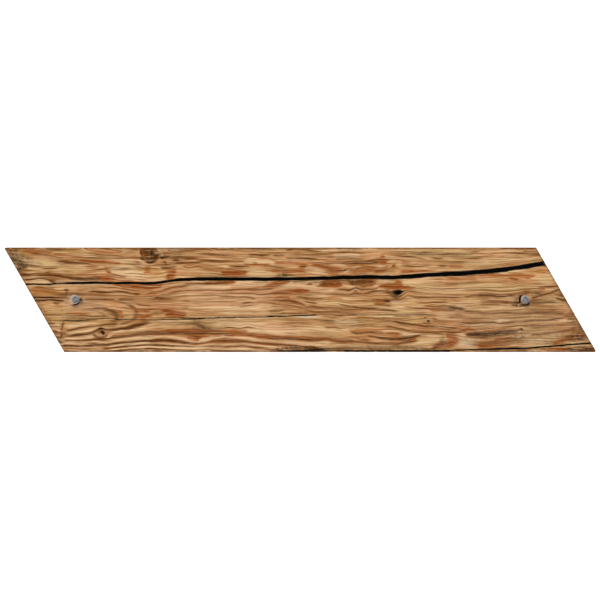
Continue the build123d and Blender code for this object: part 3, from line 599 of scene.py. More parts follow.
# Pale early wood between the rings
PALE = [
    (0.8, -236, 12.2, 0.8, -224, 12, 1, -212, 12.3, 1, -200, 13, 0.9, -186, 13.2, 0.9, -172, 13.2, 0.8,
     -160, 13.2, 0.5),
    (0.6, -233, 15.6, 1, -226, 15.8, 1.8, -219, 15.6, 1.4),
    (0.7, -232, 19.7, 0.7, -225, 19.9, 0.9, -217, 19.4, 0.7),
    (0.6, -206, 15.9, 0.7, -194, 15.9, 1, -180, 16.1, 1, -168, 16, 0.8),
    (0.7, -228, 1.1, 0.7, -220, 1.1, 0.9, -211, 1.1, 0.7),
    (0.6, -161, 34, 1.2, -151, 34, 1.6, -142, 33.8, 1.4),
    (0.8, -141, 33.8, 1, -137.5, 33.4, 1.5, -134, 31.6, 1.2),
    (0.5, -144, 30, 0.8, -138, 29.6, 0.9, -132, 30.6, 0.9, -126, 30.8, 0.8),
    (0.5, -120, 42, 2, -115, 42.8, 3, -109, 43, 2.8, -103, 43.8, 2),
    (0.75, -99, 15.8, 0.7, -92, 15.6, 1.1, -85, 15.6, 1, -78, 16.2, 0.6),
    (0.5, -112, 12.6, 1, -104, 13.6, 1.2, -97, 14.8, 0.8),
    (0.45, -98, 11, 1.4, -88, 11.4, 2.2, -75, 11.6, 2.2, -60, 11.6, 2, -48, 10.8, 1.2),
    (0.6, -84, 6.4, 0.9, -74, 6.8, 1.1, -62, 7, 1.3, -50, 7.2, 1.5, -40, 7, 1.6, -31, 7.6, 1.6,
     -24, 8.3, 1.4, -17, 9, 1.4, -10, 10.2, 1.6, -4, 11, 1.6, 2, 11.2, 1.2),
    (0.7, -54, 16.3, 0.8, -44, 15.9, 1.2, -34, 15.9, 1.2, -23, 15.9, 0.8),
    (0.55, -47, 20.1, 0.8, -36, 20.1, 1, -26, 20, 1, -19, 20, 0.7),
    (0.4, -44, 24.6, 1.4, -36, 25, 2.4, -29, 24.6, 1.6),
    (0.5, -17, 34.4, 0.8, -8, 34.2, 1.1, 2, 34.2, 1.4, 8, 34.6, 0.8),
    (0.4, 0, 37, 0.9, 8, 37, 1.1, 16, 37, 1.1, 24, 36.8, 0.8),
    (0.65, 10, 25.6, 1.6, 14, 25, 3, 18, 24.4, 2.6, 21, 23.6, 1.4),
    (0.5, 4, 27.4, 1, 10, 27.4, 1.4, 16, 27, 1.2),
    (0.6, 25, 30, 0.9, 30, 29.8, 1.7, 36, 29.6, 1.4, 41, 28.8, 0.8),
    (0.75, 37, 23.6, 1, 40, 24.6, 1.6, 42.4, 24.6, 1),
    (0.7, 2, 15.4, 1, 9, 15.8, 1.5, 16, 16.2, 1.4, 23, 17, 0.8),
    (0.6, 38, 11, 0.8, 44, 11.2, 1, 49, 11.4, 0.9, 53, 10, 0.7),
    (0.7, 58, 10.2, 0.8, 63, 11.2, 1.1, 67, 12, 1.2, 71, 13.4, 1.2, 75, 14, 0.9),
    (0.8, 66, 17, 0.9, 71, 16.6, 1.6, 76, 16.6, 1.5, 79, 16.8, 0.9),
    (0.55, 64, 8.6, 0.8, 70, 9, 0.9, 77, 9.5, 0.7),
    (0.6, 62, 6.2, 0.9, 68, 6.4, 1.2, 74, 6.8, 1),
    (0.6, 8, 4.2, 1.1, 16, 3.8, 1.6, 24, 3.2, 1.2),
    (0.45, 88, 16.6, 1.4, 97, 16.4, 2, 108, 16, 2),
    (0.65, 74.6, 33, 0.9, 79, 33.2, 1.2, 83, 33.4, 1),
    (0.6, 65, 29, 1, 69, 28.6, 1.4, 72.6, 29, 0.9),
    (0.6, 68, 21.6, 0.7, 74, 21.6, 0.8, 80, 21, 1),
    (0.55, 92, 32.8, 0.8, 97, 32.7, 1.2, 102, 32.4, 0.8),
    (0.5, 94, 27.2, 0.9, 103, 27.2, 1.2, 112, 27.4, 1),
    (0.5, 130, 25.2, 0.7, 140, 25.6, 0.9, 150, 26.3, 0.8),
    (0.9, 169, 23.5, 0.7, 175, 23.9, 1.1, 182, 24.8, 1.2, 188, 25.5, 1.2, 195, 25.9, 1),
    (0.5, 196, 27, 0.7, 203, 28, 0.9, 210, 29, 0.8),
    (0.5, 100, 18.4, 0.7, 110, 18.9, 0.9, 121, 19.6, 0.7),
    (0.4, 106, 10, 1.2, 118, 8.6, 2, 130, 8.6, 2, 143, 9, 1.6),
    (0.5, 146, 34, 1, 157, 33.2, 1.4, 164, 32.6, 1),
    (0.5, 164, 37.9, 0.8, 172, 38.6, 1, 181, 38.8, 0.8),
    (0.4, 140, 38.6, 0.9, 150, 37.8, 1.1, 160, 37.4, 0.9),
    (0.6, 170, 43, 0.8, 178, 42.8, 1.1, 187, 42.9, 0.8),
    # Middle and front
    (0.55, -155, -1.8, 1.4, -149, -2.2, 2.2, -144, -2.8, 1.2),
    (0.6, -123, -18.1, 0.7, -112, -18.2, 1, -102, -18, 1, -94, -18.2, 0.8),
    (0.65, -86, -17, 0.7, -77, -16.9, 1, -67, -16.5, 1, -56, -16.5, 1, -47, -16.4, 0.6),
    (0.7, -6, -14.8, 0.7, 2, -14.8, 1.2, 10, -14.6, 1.3, 17.6, -14.4, 0.9),
    (0.5, -176, -3, 0.9, -170, -3.6, 1.2, -162, -4.2, 1),
    (0.6, -202, -22.8, 1.2, -196, -22.4, 1.6, -189, -21.6, 1.4, -181, -21.2, 1),
    (0.9, -202, -29, 1.2, -196, -28.6, 1.4, -189, -27.6, 1.4, -183, -26.6, 1.2, -178, -25.2, 0.8),
    (1.0, -203, -33.2, 1.2, -195, -33, 1.4, -187, -32.7, 1.4, -180, -31.8, 1.6, -175.6, -32.2, 0.9),
    (0.9, -204, -37.2, 1.2, -196, -37.2, 1.3, -189, -37.4, 0.9),
    (0.6, -203, -43, 0.8, -195, -43.2, 0.9, -186, -43.4, 0.8),
    (0.85, -182, -35.8, 0.9, -174, -36, 1, -166, -36.6, 1, -161, -35.6, 1, -153, -34, 1.6, -145, -33, 1.8,
     -137, -32.6, 2.2, -128, -32.4, 2, -119, -31.9, 1.9, -109, -31.7, 1.7, -103, -32.6, 1.7, -98, -34, 1),
    (1.0, -165, -40.4, 0.9, -158, -39.2, 1.1, -151, -38.3, 1.1, -144, -37.7, 1.1, -136, -37, 1,
     -129, -37.1, 0.9, -120, -37.3, 0.9, -113, -37.8, 1, -106, -38, 1, -99, -38.6, 0.9, -92, -39, 0.8),
    (1.0, -163, -42.7, 0.9, -156, -42.2, 1, -149, -41.6, 1.1, -141, -41, 1.1, -133, -40.6, 1,
     -124, -40.6, 0.9, -115, -41.2, 0.9, -107, -41.4, 1.2, -98, -41.6, 1.3, -90, -41.9, 1,
     -82, -41.6, 1.2, -73, -42, 1.4, -63, -42, 1.4, -52, -41.7, 1.4, -44, -42.2, 1.2, -37, -43, 1,
     -30, -43.4, 0.7),
    (1.2, -84, -38.4, 1, -76, -38, 1.6, -67, -37.6, 1.7, -58, -37.6, 1.7, -50, -37.8, 1.6,
     -43, -38.2, 1.5, -36, -38.8, 1.4, -29, -39.8, 1.3, -22, -40.6, 1.1, -14, -41, 0.8),
    (0.95, -163, -28, 1.1, -155, -27.2, 1.4, -147, -26.4, 1.4, -139, -25.4, 1.2, -131, -23.6, 1),
    (0.5, -146, -21.6, 0.8, -152, -22.4, 1, -160, -23.4, 0.8),
    (0.6, -94, -35, 1, -88, -35.3, 1.6, -84, -34.6, 1),
    (0.9, -84, -32.8, 1, -76, -33, 1.6, -67, -32.6, 1.8, -57, -32.2, 1.8, -48, -32.6, 1.5,
     -41, -33.6, 1.3, -33, -34.8, 1.2, -24, -36, 1.4, -14, -36.4, 1.6, -3, -36.9, 1.6, 8, -37, 1.6,
     18, -36.8, 1.3, 26, -37.4, 1.2),
    (0.5, -40, -27.9, 0.8, -33, -28, 1.1, -27, -28.6, 0.9),
    (0.4, -30, -22.6, 1.4, -18, -23, 1.8, -5, -23.4, 1.6),
    (0.4, 12, -26, 1.4, 22, -26.8, 1.8, 34, -26.6, 1.2),
    (0.7, 34, -26.4, 0.7, 40, -26.2, 0.9, 43, -27.2, 0.7),
    (0.5, 28, -38.4, 1.2, 40, -38.4, 1.4, 54, -38.8, 1.4, 66, -39.6, 1.2, 80, -39.6, 1.1),
    (0.5, 38, -33.2, 0.8, 44, -33.6, 1, 50, -34.6, 0.8),
    (0.6, 60, -35.4, 0.9, 68, -35.4, 1.1, 77, -35.2, 1.1),
    (0.65, 71, -26.2, 0.9, 78, -26.6, 1.2, 86, -27, 1),
    (0.95, 86.6, -29, 1, 90, -29.6, 1.9, 95, -29.8, 2, 100, -29.6, 1.5, 104, -29.8, 0.9),
    (0.45, 107, -31, 1.4, 115, -31, 2.2, 121, -30.6, 1.6),
    (0.45, 96, -37.6, 1.4, 104, -36.8, 2.2, 113, -35.6, 2),
    (0.6, 84, -38.8, 1, 94, -38.6, 1.6, 103, -39.4, 1.6),
    (0.4, 72, -7.2, 0.8, 79, -7.8, 0.9, 87, -8.4, 1.1, 94, -8.4, 0.8),
    (0.6, 101, -9.2, 1, 108, -9.4, 1.4, 115, -9.8, 1),
    (0.4, 86, -13.5, 0.6, 98, -13.6, 0.8, 110, -13.8, 0.8),
    (0.6, 114, -3.6, 0.7, 121, -3.7, 1, 130, -4, 1),
    (1.0, 132, -4.9, 0.8, 138, -5.2, 1.2, 143, -5.4, 0.9),
    (0.6, 124, -16.4, 0.7, 132, -17, 0.9, 141, -17.6, 1),
    (0.5, 140, -21.6, 0.8, 148, -21.9, 1.5, 157, -21.7, 1.5, 167, -21.4, 1.3, 176, -21.2, 1),
    (1.0, 167.6, -18.2, 1.4, 171, -18, 2.4, 175, -17.8, 1.8, 180, -17.2, 0.9),
    (0.6, 132, -29.4, 0.7, 137, -29, 1, 142, -29, 1.1),
    (0.5, 137, -31.4, 1.2, 141.6, -33, 1.6, 148, -33.6, 1.8, 156, -34, 1.2),
    (0.5, 138, -37, 1.6, 145, -38.4, 2.2, 150, -40.6, 2),
    (0.7, 129, -41.2, 1.2, 134, -40, 1.6, 139, -40.4, 1.4),
    (0.4, 160, -32.6, 0.7, 168, -32.4, 0.9, 176, -31.8, 0.7),
    (0.7, 186.4, -40.4, 0.8, 190, -40.6, 1, 196, -40.4, 0.9),
    (0.4, 193, -34, 2, 202, -34.6, 2.6, 210, -35, 2.4),
    (0.5, 214, -30.6, 1, 221, -29.4, 1.2, 228, -28.2, 1),
    (0.6, 203, -40, 0.5, 210, -39.2, 0.8, 218, -38.7, 0.7),
    (0.85, 230, -36.9, 0.8, 237, -36.6, 1, 245, -36, 0.9),
    (0.7, 226, -40.4, 0.8, 234, -39.7, 1.1, 243, -39.4, 1.1, 251, -39, 0.9),
    (0.4, 198, -12.8, 0.8, 208, -12.8, 0.9, 219, -13, 0.8),
    (0.4, 222, -18, 1.4, 230, -17.6, 1.6, 236, -17.8, 1),
]
for strength, *points in PALE:
    stroke("cream", strength, points, share=0.7)

# Weathered and sawn places, grey-brown and mottled
WEATHERED = [
    (1.0, -251, 38, 5, -244, 34, 10, -239, 29, 10, -237, 25, 6),
    (0.6, -246, 40, 3, -240, 37, 6, -234, 33, 6, -232, 28, 5),
    (0.3, 120, -20, 5, 140, -34, 3, 160, -36, 10, 185, -34, 12, 210, -32, 14, 236, -32, 16),
    (0.3, 196, -2, 8, 214, -1, 10, 226, -1, 6),
    (0.35, -124, 38, 4, -112, 39, 9, -100, 38, 8),
    (0.3, -40, 16, 2, 0, 16, 3, 40, 17, 4, 80, 17, 3),
    (0.35, 156, -2.6, 2, 172, -2.8, 4, 186, -2.4, 6, 200, -1, 8),
    (0.8, -254, 44, 2, -247, 42.6, 3, -241, 43.6, 2.4),
    (0.6, -228, 3, 2, -224, -4, 2, -219, -12, 2, -213, -22, 2),
    (0.7, 222, 12, 2, 226, 6, 3, 230, -1, 3, 233, -7, 2.4, 238, -15, 2),
    (0.6, 238, -16, 2, 242, -24, 3, 246, -31, 3),
    (0.7, 232, -35, 2, 238, -34.6, 3, 245, -34.6, 3),
    (0.75, 228, -43, 1.6, 236, -42, 2.4, 244, -41.6, 3, 252, -42, 3),
    (0.5, 160, -43.8, 1, 172, -43.6, 1.4, 186, -43.6, 1.4, 200, -43.4, 1.2),
    (0.7, -237, 38.6, 3, -234, 35, 4, -232, 31, 4),
    (0.4, -232, 32.6, 1.6, -226, 31, 2.6, -221, 29, 2),
    (0.7, -204, 5, 1.2, -202.4, 3, 1.8, -202, 0.6, 1.4),
    (0.8, -208.6, -35, 1.2, -206.6, -36, 1.8, -204.4, -36.6, 1.2),
    (0.8, -213, -26.6, 1.2, -210.6, -27, 1.1, -207, -27.9, 1),
    (0.4, -191, -42.4, 1.2, -183, -42.2, 1.8, -175, -42.4, 1.4),
    (0.5, -183, -37.9, 1.2, -177, -37.6, 1.8, -171, -37.4, 1),
    (0.65, -143.6, 32.4, 1, -140.6, 31.8, 1.6, -137, 31.6, 1.2),
    (0.7, -170, -9, 1.2, -163, -10, 1.8, -159, -12.6, 2.6, -157, -15.6, 2.6, -157, -18.6, 2),
    (0.5, -147, -2, 1.4, -142.6, -7, 1.8, -141, -12, 2, -142.6, -17, 1.8),
    (0.5, -103, -6.4, 1.4, -98.6, -6.8, 2, -94.6, -7.2, 1.2),
    (0.7, -92, -17.6, 2.4, -88.6, -20, 4.4, -85.6, -22.6, 5.4, -81, -24.4, 4, -75, -25, 3, -67, -25.4, 2),
    (0.5, -94, -23.6, 1, -90.6, -24, 1.6, -87, -24.4, 1.4),
    (0.45, -76, -26, 1.2, -71, -25.6, 1.6, -66, -25.8, 1.2),
    (0.65, -18.6, 21.2, 1.2, -14, 21.4, 2, -9.4, 21.2, 1.6),
    (0.5, -17, 24, 1.6, -12.6, 24.6, 2, -9, 25, 1.2),
    (0.5, -9, 15.6, 1.4, -5, 15.4, 1.8, -1, 15.6, 1.2),
    (0.5, -37, 36.6, 1, -44, 36.8, 1.4, -48, 36.8, 0.8),
    (0.85, 5, -41.4, 2, 10, -42, 2, 16, -42, 1.8, 22, -42, 1.6, 29, -42, 1.4),
    (0.6, -12, -41.8, 1, -8, -42.2, 1.6, -3, -42.2, 1.8, 2, -42.6, 1.4),
    (0.6, 44, 16, 1.8, 48, 15.8, 2, 52, 15.4, 2),
    (0.6, 31, 43.8, 1.2, 38, 44, 1.6, 46, 43.8, 1.8, 54, 44, 1.2),
    (0.4, -24, 44.2, 1.2, -14, 44.4, 1.2, -4, 44.4, 1),
    (0.8, 76, 5, 1.6, 79.4, 4, 3, 82, 2.8, 3, 86, 3.6, 2.4, 89, 5.4, 1.6),
    (0.6, 28, -41.6, 1.6, 44, -41.4, 2.2, 62, -41.2, 2.4, 80, -41.2, 2.4, 98, -41.4, 2.2,
     112, -41.8, 1.6),
    (0.95, 143.4, -29.6, 2, 147, -29.4, 2.8, 152, -29.4, 3.2, 157, -29.4, 3.4, 162, -29.2, 3.2),
    (0.6, 160, -28.6, 3.4, 167, -28.4, 4, 174, -28, 4, 181, -27.8, 3.6, 186, -28, 2.4),
    (0.55, 168, -39, 1.6, 174, -38.4, 2.6, 181, -36.6, 3.6, 186, -35, 4),
    (0.5, 180, -31.6, 2.4, 186, -33.4, 3, 191, -32.4, 3, 195, -31.6, 2),
    (0.6, 162, -41.6, 0.8, 172, -41.2, 1.2, 184, -40.8, 1.1),
    (0.75, 121, -34, 1.2, 123.2, -32.4, 1.4, 123.6, -30.2, 1.3),
    (0.7, 120, -32.6, 3, 123, -36, 4.4, 126.4, -40, 4),
    (0.5, 112, -38.6, 1.4, 118, -38.6, 1.8, 122, -38.8, 1.6),
    (0.5, 86, -35.4, 1.4, 90, -35, 2, 93.6, -34.6, 1.4),
    (0.7, 239, -31.6, 2, 243, -32.8, 3, 247, -33.4, 2.6),
    (0.5, 190, -43.6, 1, 198, -43.2, 1.2, 206, -42.6, 1),
    (0.5, 190, 1.6, 1, 185, 1.6, 2, 181, 2.6, 1.4),
]
for strength, *points in WEATHERED:
    stroke("ash", strength, points, share=0.7)

# Long crack, the thinner check below it and the split along the front edge
CRACKS = [
    (0.9, -240, 13.4, 1.3, -230, 13.3, 1.05, -222, 13.4, 1.05, -215, 13.7, 1.05, -210, 14.1, 1.1,
     -204, 14.2, 1.1, -196, 14.3, 1.15),
    (1.0, -200, 14.25, 1.1, -191, 14.4, 1.2, -184, 14.5, 1.2, -176, 14.6, 1.15, -168, 14.5, 1.15,
     -160, 14.3, 1.25, -150, 14.5, 1.45, -140, 14.3, 1.4, -134, 14.2, 1.5, -128, 14.4, 1.5,
     -122, 14.9, 1.5, -116, 15.6, 1.5, -110, 16.4, 1.5, -105, 17, 1.7, -100, 17.2, 1.75, -94, 17.5, 1.85,
     -88, 17.8, 2, -80, 17.9, 1.95, -70, 17.8, 1.95, -60, 17.75, 1.95, -50, 17.8, 1.95, -40, 17.8, 1.95,
     -30, 17.8, 2, -20, 17.9, 1.95, -10, 18, 1.85, 0, 18.2, 1.85, 8, 18.4, 1.9, 16, 18.6, 2, 24, 18.7, 2,
     30, 18.9, 2, 35, 19, 2.2, 42, 19.1, 2.2, 50, 19.5, 2.2, 57, 19.7, 2.2, 65, 19.6, 2.2, 72, 19.4, 2.2,
     79, 19.2, 2.1, 84, 19.4, 2.2, 89, 19.8, 2.35, 95, 20.1, 2.4, 102, 20.6, 2.4, 110, 21.2, 2.4,
     118, 21.7, 2.4, 127, 22.2, 2.5, 135, 22.5, 2.5, 142, 22.9, 2.5, 150, 23.6, 2.5, 158, 24.3, 2.5,
     166, 24.9, 2.5, 174, 25.9, 2.5, 182, 27.1, 2.5, 190, 28.2, 2.6, 198, 29.4, 2.7, 206, 30.7, 2.6,
     214, 32.2, 2.5, 222, 33.6, 2.5),
    (0.4, -205, -17.6, 1, -200, -17.7, 1.05, -194, -17.8, 1.05, -188, -17.6, 0.9, -182, -17.1, 0.8,
     -176, -16.7, 0.8, -171, -16.2, 0.9, -165, -16, 0.95, -159, -16.2, 0.9, -155, -17.1, 1.2,
     -151, -17.1, 1, -146, -16.9, 0.8, -140, -17.1, 0.8, -131, -17.3, 0.9, -124, -17.2, 0.9,
     -118, -17, 0.95, -110, -17, 0.95, -103, -16.8, 0.9, -97, -16.6, 0.9, -93, -16.5, 1),
    (0.5, -98, -16.6, 0.9, -90, -16.1, 1, -86, -15.8, 1, -80, -15.9, 0.8),
    (0.48, -84, -15.9, 0.8, -76, -15.7, 0.8, -70, -15.3, 0.9, -64, -15, 1.05, -57, -15.1, 1.1,
     -50, -15.1, 0.95, -44, -15, 0.8, -37, -15, 0.7, -31, -14.8, 0.8, -26, -14.4, 1, -20, -14.2, 1,
     -13, -14.2, 1, -8, -13.8, 0.9, -3, -13.5, 0.9, 4, -13.5, 1, 10, -13.2, 1, 16, -13, 0.9),
    (0.5, -232, 2.2, 0.9, -222, 2, 0.9, -211, 2, 0.8),
    (0.44, -228, -0.4, 0.7, -214, -0.3, 0.8, -206, -0.6, 1, -201, -0.8, 0.9),
    (0.55, -8, -13.7, 0.8, 4, -13.5, 1, 15, -13.2, 0.9),
    (0.26, 14, -12.9, 0.8, 20, -12.8, 0.8, 27, -12.8, 0.8, 33, -12.8, 0.7, 38, -12.2, 0.6),
    (0.4, 39, -12.1, 0.7, 43, -12.5, 0.9, 47, -12.8, 0.9, 52, -12.8, 0.8),
    (0.3, 48, -12.8, 0.9, 55, -12.8, 0.8, 62, -12.7, 0.8, 70, -12.6, 0.95, 76, -12.7, 1, 83, -12.6, 0.9,
     91, -12.5, 0.9, 99, -12.5, 0.8, 106, -12.4, 0.9, 113, -12.8, 0.9, 119, -13.1, 0.7),
    (0.95, -34, -44.6, 0.5, -22, -44.4, 0.7, -13, -44, 0.9, -7, -44, 1.3, 0, -44.1, 1.4, 6, -43.7, 1.4,
     12, -43.4, 1.5, 18, -43.4, 1.2, 24, -43.5, 0.9, 42, -43.6, 0.85, 64, -43.65, 0.9, 76, -43.6, 0.95,
     84, -43.8, 0.9, 92, -43.6, 1, 102, -43.5, 1.1, 120, -43.7, 1, 136, -43.3, 0.9, 152, -42.8, 1.05,
     168, -42.3, 1.1, 184, -42, 1.05, 199, -41.5, 1.05, 206, -40.7, 1.1, 213, -40, 1.1, 221, -39.5, 1.05,
     237, -38.3, 1, 244, -37.7, 1, 250, -37.3, 1.2, 256, -37.1, 1.2),
]
for strength, *points in CRACKS:
    stroke("black", strength, points, hardness=5, share=0.72 if strength == 1 else 0.6)

# Broad washes, which tint the wood under the strokes and bend no fibres
WASHES = [
    # Dry, paler wood
    ("khaki", 0.8, -232, 34, 6, -224, 32, 9, -214, 31, 9, -204, 30, 7),
    ("khaki", 0.6, -226, 38, 5, -200, 38, 6, -174, 39, 5),
    ("khaki", 0.6, -224, 26, 5, -212, 26, 6, -200, 25, 6, -190, 24, 5),
    ("khaki", 0.8, -222, 25, 3, -208, 25, 4, -194, 24, 3),
    ("khaki", 0.7, -166, 25, 4, -158, 24.5, 7, -148, 24.5, 8, -138, 24.5, 6),
    ("khaki", 0.5, -164, 34, 4, -152, 33, 5, -142, 32.4, 4),
    ("khaki", 0.5, -152, -9, 6, -147, -13, 7, -148, -18, 5),
    ("khaki", 0.8, -124, -21.6, 3, -110, -21.6, 4.4, -97, -21, 3),
    ("khaki", 0.6, -66, -11, 3, -58, -11, 4, -50, -11, 3),
    ("khaki", 0.6, -46, 24, 4, -38, 24, 6, -31, 23.6, 5),
    ("khaki", 0.6, -4, -27, 4, 10, -28, 6, 24, -28.6, 6, 40, -30, 4),
    ("khaki", 0.5, 72, -11, 4, 84, -11, 7, 100, -10, 5),
    ("khaki", 0.8, 90, 39, 5, 112, 39, 6, 134, 39, 6, 146, 39, 4),
    ("khaki", 0.8, 92, 12, 5, 106, 12, 6, 126, 11, 6),
    ("khaki", 0.6, 96, -34, 4, 106, -36, 7, 118, -36, 6),
    ("khaki", 0.4, 98, 8, 6, 114, 6, 10, 130, 6, 8),
    ("khaki", 0.7, 134, 13, 5, 146, 12, 8, 158, 12, 8, 172, 12, 6),
    ("khaki", 0.8, 136, -37, 5, 144, -37, 8, 150, -36, 5),
    ("khaki", 0.6, 140, -22.4, 2.4, 150, -22.4, 3.6, 162, -22, 3),
    ("khaki", 0.5, 140, 30, 5, 156, 32, 6, 172, 34, 5, 186, 39, 5),
    ("khaki", 0.4, 188, 38, 6, 200, 38, 8),
    ("khaki", 0.95, 190, -35, 5, 198, -35.4, 8, 208, -35, 8, 219, -33, 6),
    ("khaki", 0.8, 204, 19, 6, 212, 17, 8, 218, 15, 6),
    ("khaki", 0.7, 208, -2, 5, 218, 0, 8, 226, -4, 6),
    # Golden wood
    ("gold", 0.6, -250, 43, 4, -240, 42, 6, -228, 41, 5),
    ("gold", 0.7, -234, 8, 4, -224, 7, 6, -214, 6.6, 6, -205, 6.4, 4),
    ("gold", 0.5, -226, -4.6, 2, -219, -4.6, 3, -212, -4.6, 2),
    ("gold", 0.6, -222, -9, 4, -216, -14, 8, -211, -18, 5),
    ("gold", 0.7, -206, 43, 4, -198, 43, 6, -190, 42, 5),
    ("gold", 0.6, -205, 24, 3, -198, 24, 4, -191, 24, 3),
    ("gold", 0.9, -204.6, -3, 1.4, -205, -8, 1.8, -205.6, -14, 1.6),
    ("gold", 0.5, -179, -3, 2.4, -170, -4, 3, -160, -5, 2.4),
    ("gold", 0.6, -132, 25, 4, -124, 24, 6, -118, 23, 5),
    ("gold", 0.4, -128, -40, 7, -90, -41, 8, -40, -41, 8, -10, -40, 5),
    ("gold", 0.5, -118, 19.6, 3, -108, 19.6, 3),
    ("gold", 0.5, 146, 15.6, 1.6, 156, 15.2, 2.4, 166, 15.4, 1.6),
    ("gold", 0.6, 196, 25, 4, 204, 24, 6, 212, 23, 5),
    ("gold", 0.5, 198, -37, 2.4, 205, -37, 3.4, 212, -36.6, 2.4),
    # Darker, resinous wood
    ("amber", 0.5, -205, 8, 6, -190, 8, 10, -165, 7, 12, -140, 2, 12, -112, -2, 12, -96, -8, 8),
    ("amber", 0.5, -200, -9, 8, -186, -10, 10, -168, -8, 8),
    ("amber", 0.45, -104, 27, 6, -86, 27, 9, -64, 27, 6),
    ("amber", 0.45, 4, 28, 8, 30, 28, 12, 60, 28, 12, 84, 27, 8),
    ("amber", 0.5, 106, -19, 6, 124, -19, 9, 140, -15, 8, 170, -13, 8, 200, -14, 9, 230, -16, 9),
    ("amber", 0.45, 176, 30, 6, 196, 36, 5),
    ("amber", 0.4, 184, 0, 10, 200, 0, 10),
    ("amber", 0.6, 232, -16, 5, 238, -22, 6, 243, -30, 6),
    # Bleached wood
    ("cream", 0.9, -232, 16.4, 1.6, -222, 16.8, 2, -213, 15.8, 1.4),
    ("cream", 0.8, -212, 16.6, 1.4, -200, 16.4, 1.6, -184, 16.4, 1.2),
    ("cream", 0.35, -202, -38, 8, -186, -38, 9, -168, -39, 6),
    ("cream", 0.5, -164, 25, 4, -154, 25, 8, -142, 24, 7),
    ("cream", 0.5, -152, 19.6, 3, -142, 20, 5, -132, 20, 4),
    ("cream", 0.75, -150, -38, 5, -120, -39, 8, -90, -40, 10, -50, -41, 9, -20, -41, 5),
    ("cream", 0.75, -110, -33, 4, -90, -35, 7, -60, -34, 8, -30, -36, 8, 0, -37, 6, 20, -38, 5),
    ("cream", 0.75, -98, 10, 4, -84, 11, 7, -60, 11, 8, -36, 11, 8, -10, 11, 8, 16, 11, 5),
    ("cream", 0.35, -98, 4, 6, -76, 5, 8, -52, 4, 8, -30, 4, 6),
    ("cream", 0.3, -96, 2, 8, -76, -3, 14, -56, -5, 16, -38, -7, 14, -24, -9, 10),
    ("cream", 0.5, -74, -20, 6, -54, -22, 8, -34, -25, 11, -14, -28, 10, 2, -28, 6),
    ("cream", 0.8, -72, 10, 4, -50, 11, 5, -30, 8, 4, -2, 11, 5, 12, 8, 4),
    ("cream", 0.6, -20, 11, 4, -4, 10, 6, 14, 9, 6, 30, 8.6, 4),
    ("cream", 0.6, 28, 38, 3, 40, 38, 4, 52, 38, 3),
    ("cream", 0.6, 28, -19, 4, 40, -19, 5, 50, -20, 4),
    # Pinkish wood
    ("rose", 0.4, -112, 8, 4, -90, 8, 6, -60, 7, 7, -30, 7, 7, -6, 6, 6),
    ("rose", 0.5, 166, -38.6, 2, 174, -39.4, 3, 181, -40, 2),
    ("rose", 0.6, 194, -21, 1.2, 202, -21, 1.6, 211, -20.8, 1.2),
    ("rose", 0.6, 220, -24, 1.4, 227, -23.8, 1.8, 236, -23.4, 1.4),
    # Greyed wood
    ("ash", 0.14, 120, -10, 12, 150, -14, 22, 180, -18, 24, 224, -22, 20),
    ("ash", 0.35, 150, -43.6, 1.2, 180, -43.6, 1.6, 206, -43.4, 2),
    ("ash", 0.4, 180, -30, 5, 200, -30, 9, 222, -28, 9, 244, -32, 8),
    ("ash", 0.6, 230, -14, 8, 239, -26, 9, 248, -38, 8),
    # Dusty wood
    ("chalk", 0.16, -205, -3, 9, -188, -4, 12, -168, -6, 9),
    ("chalk", 0.09, 120, -10, 12, 150, -14, 22, 180, -18, 24, 224, -22, 20),
    ("chalk", 0.24, 136, -37, 4, 143, -37, 5, 150, -37, 4),
    ("chalk", 0.35, 136, -37, 4, 143, -38, 6, 150, -40, 4),
    ("chalk", 0.14, 194, -36, 5, 205, -36, 6, 216, -36, 5),
]
for ink, strength, *points in WASHES:
    stroke(ink, strength, points, guides=False)

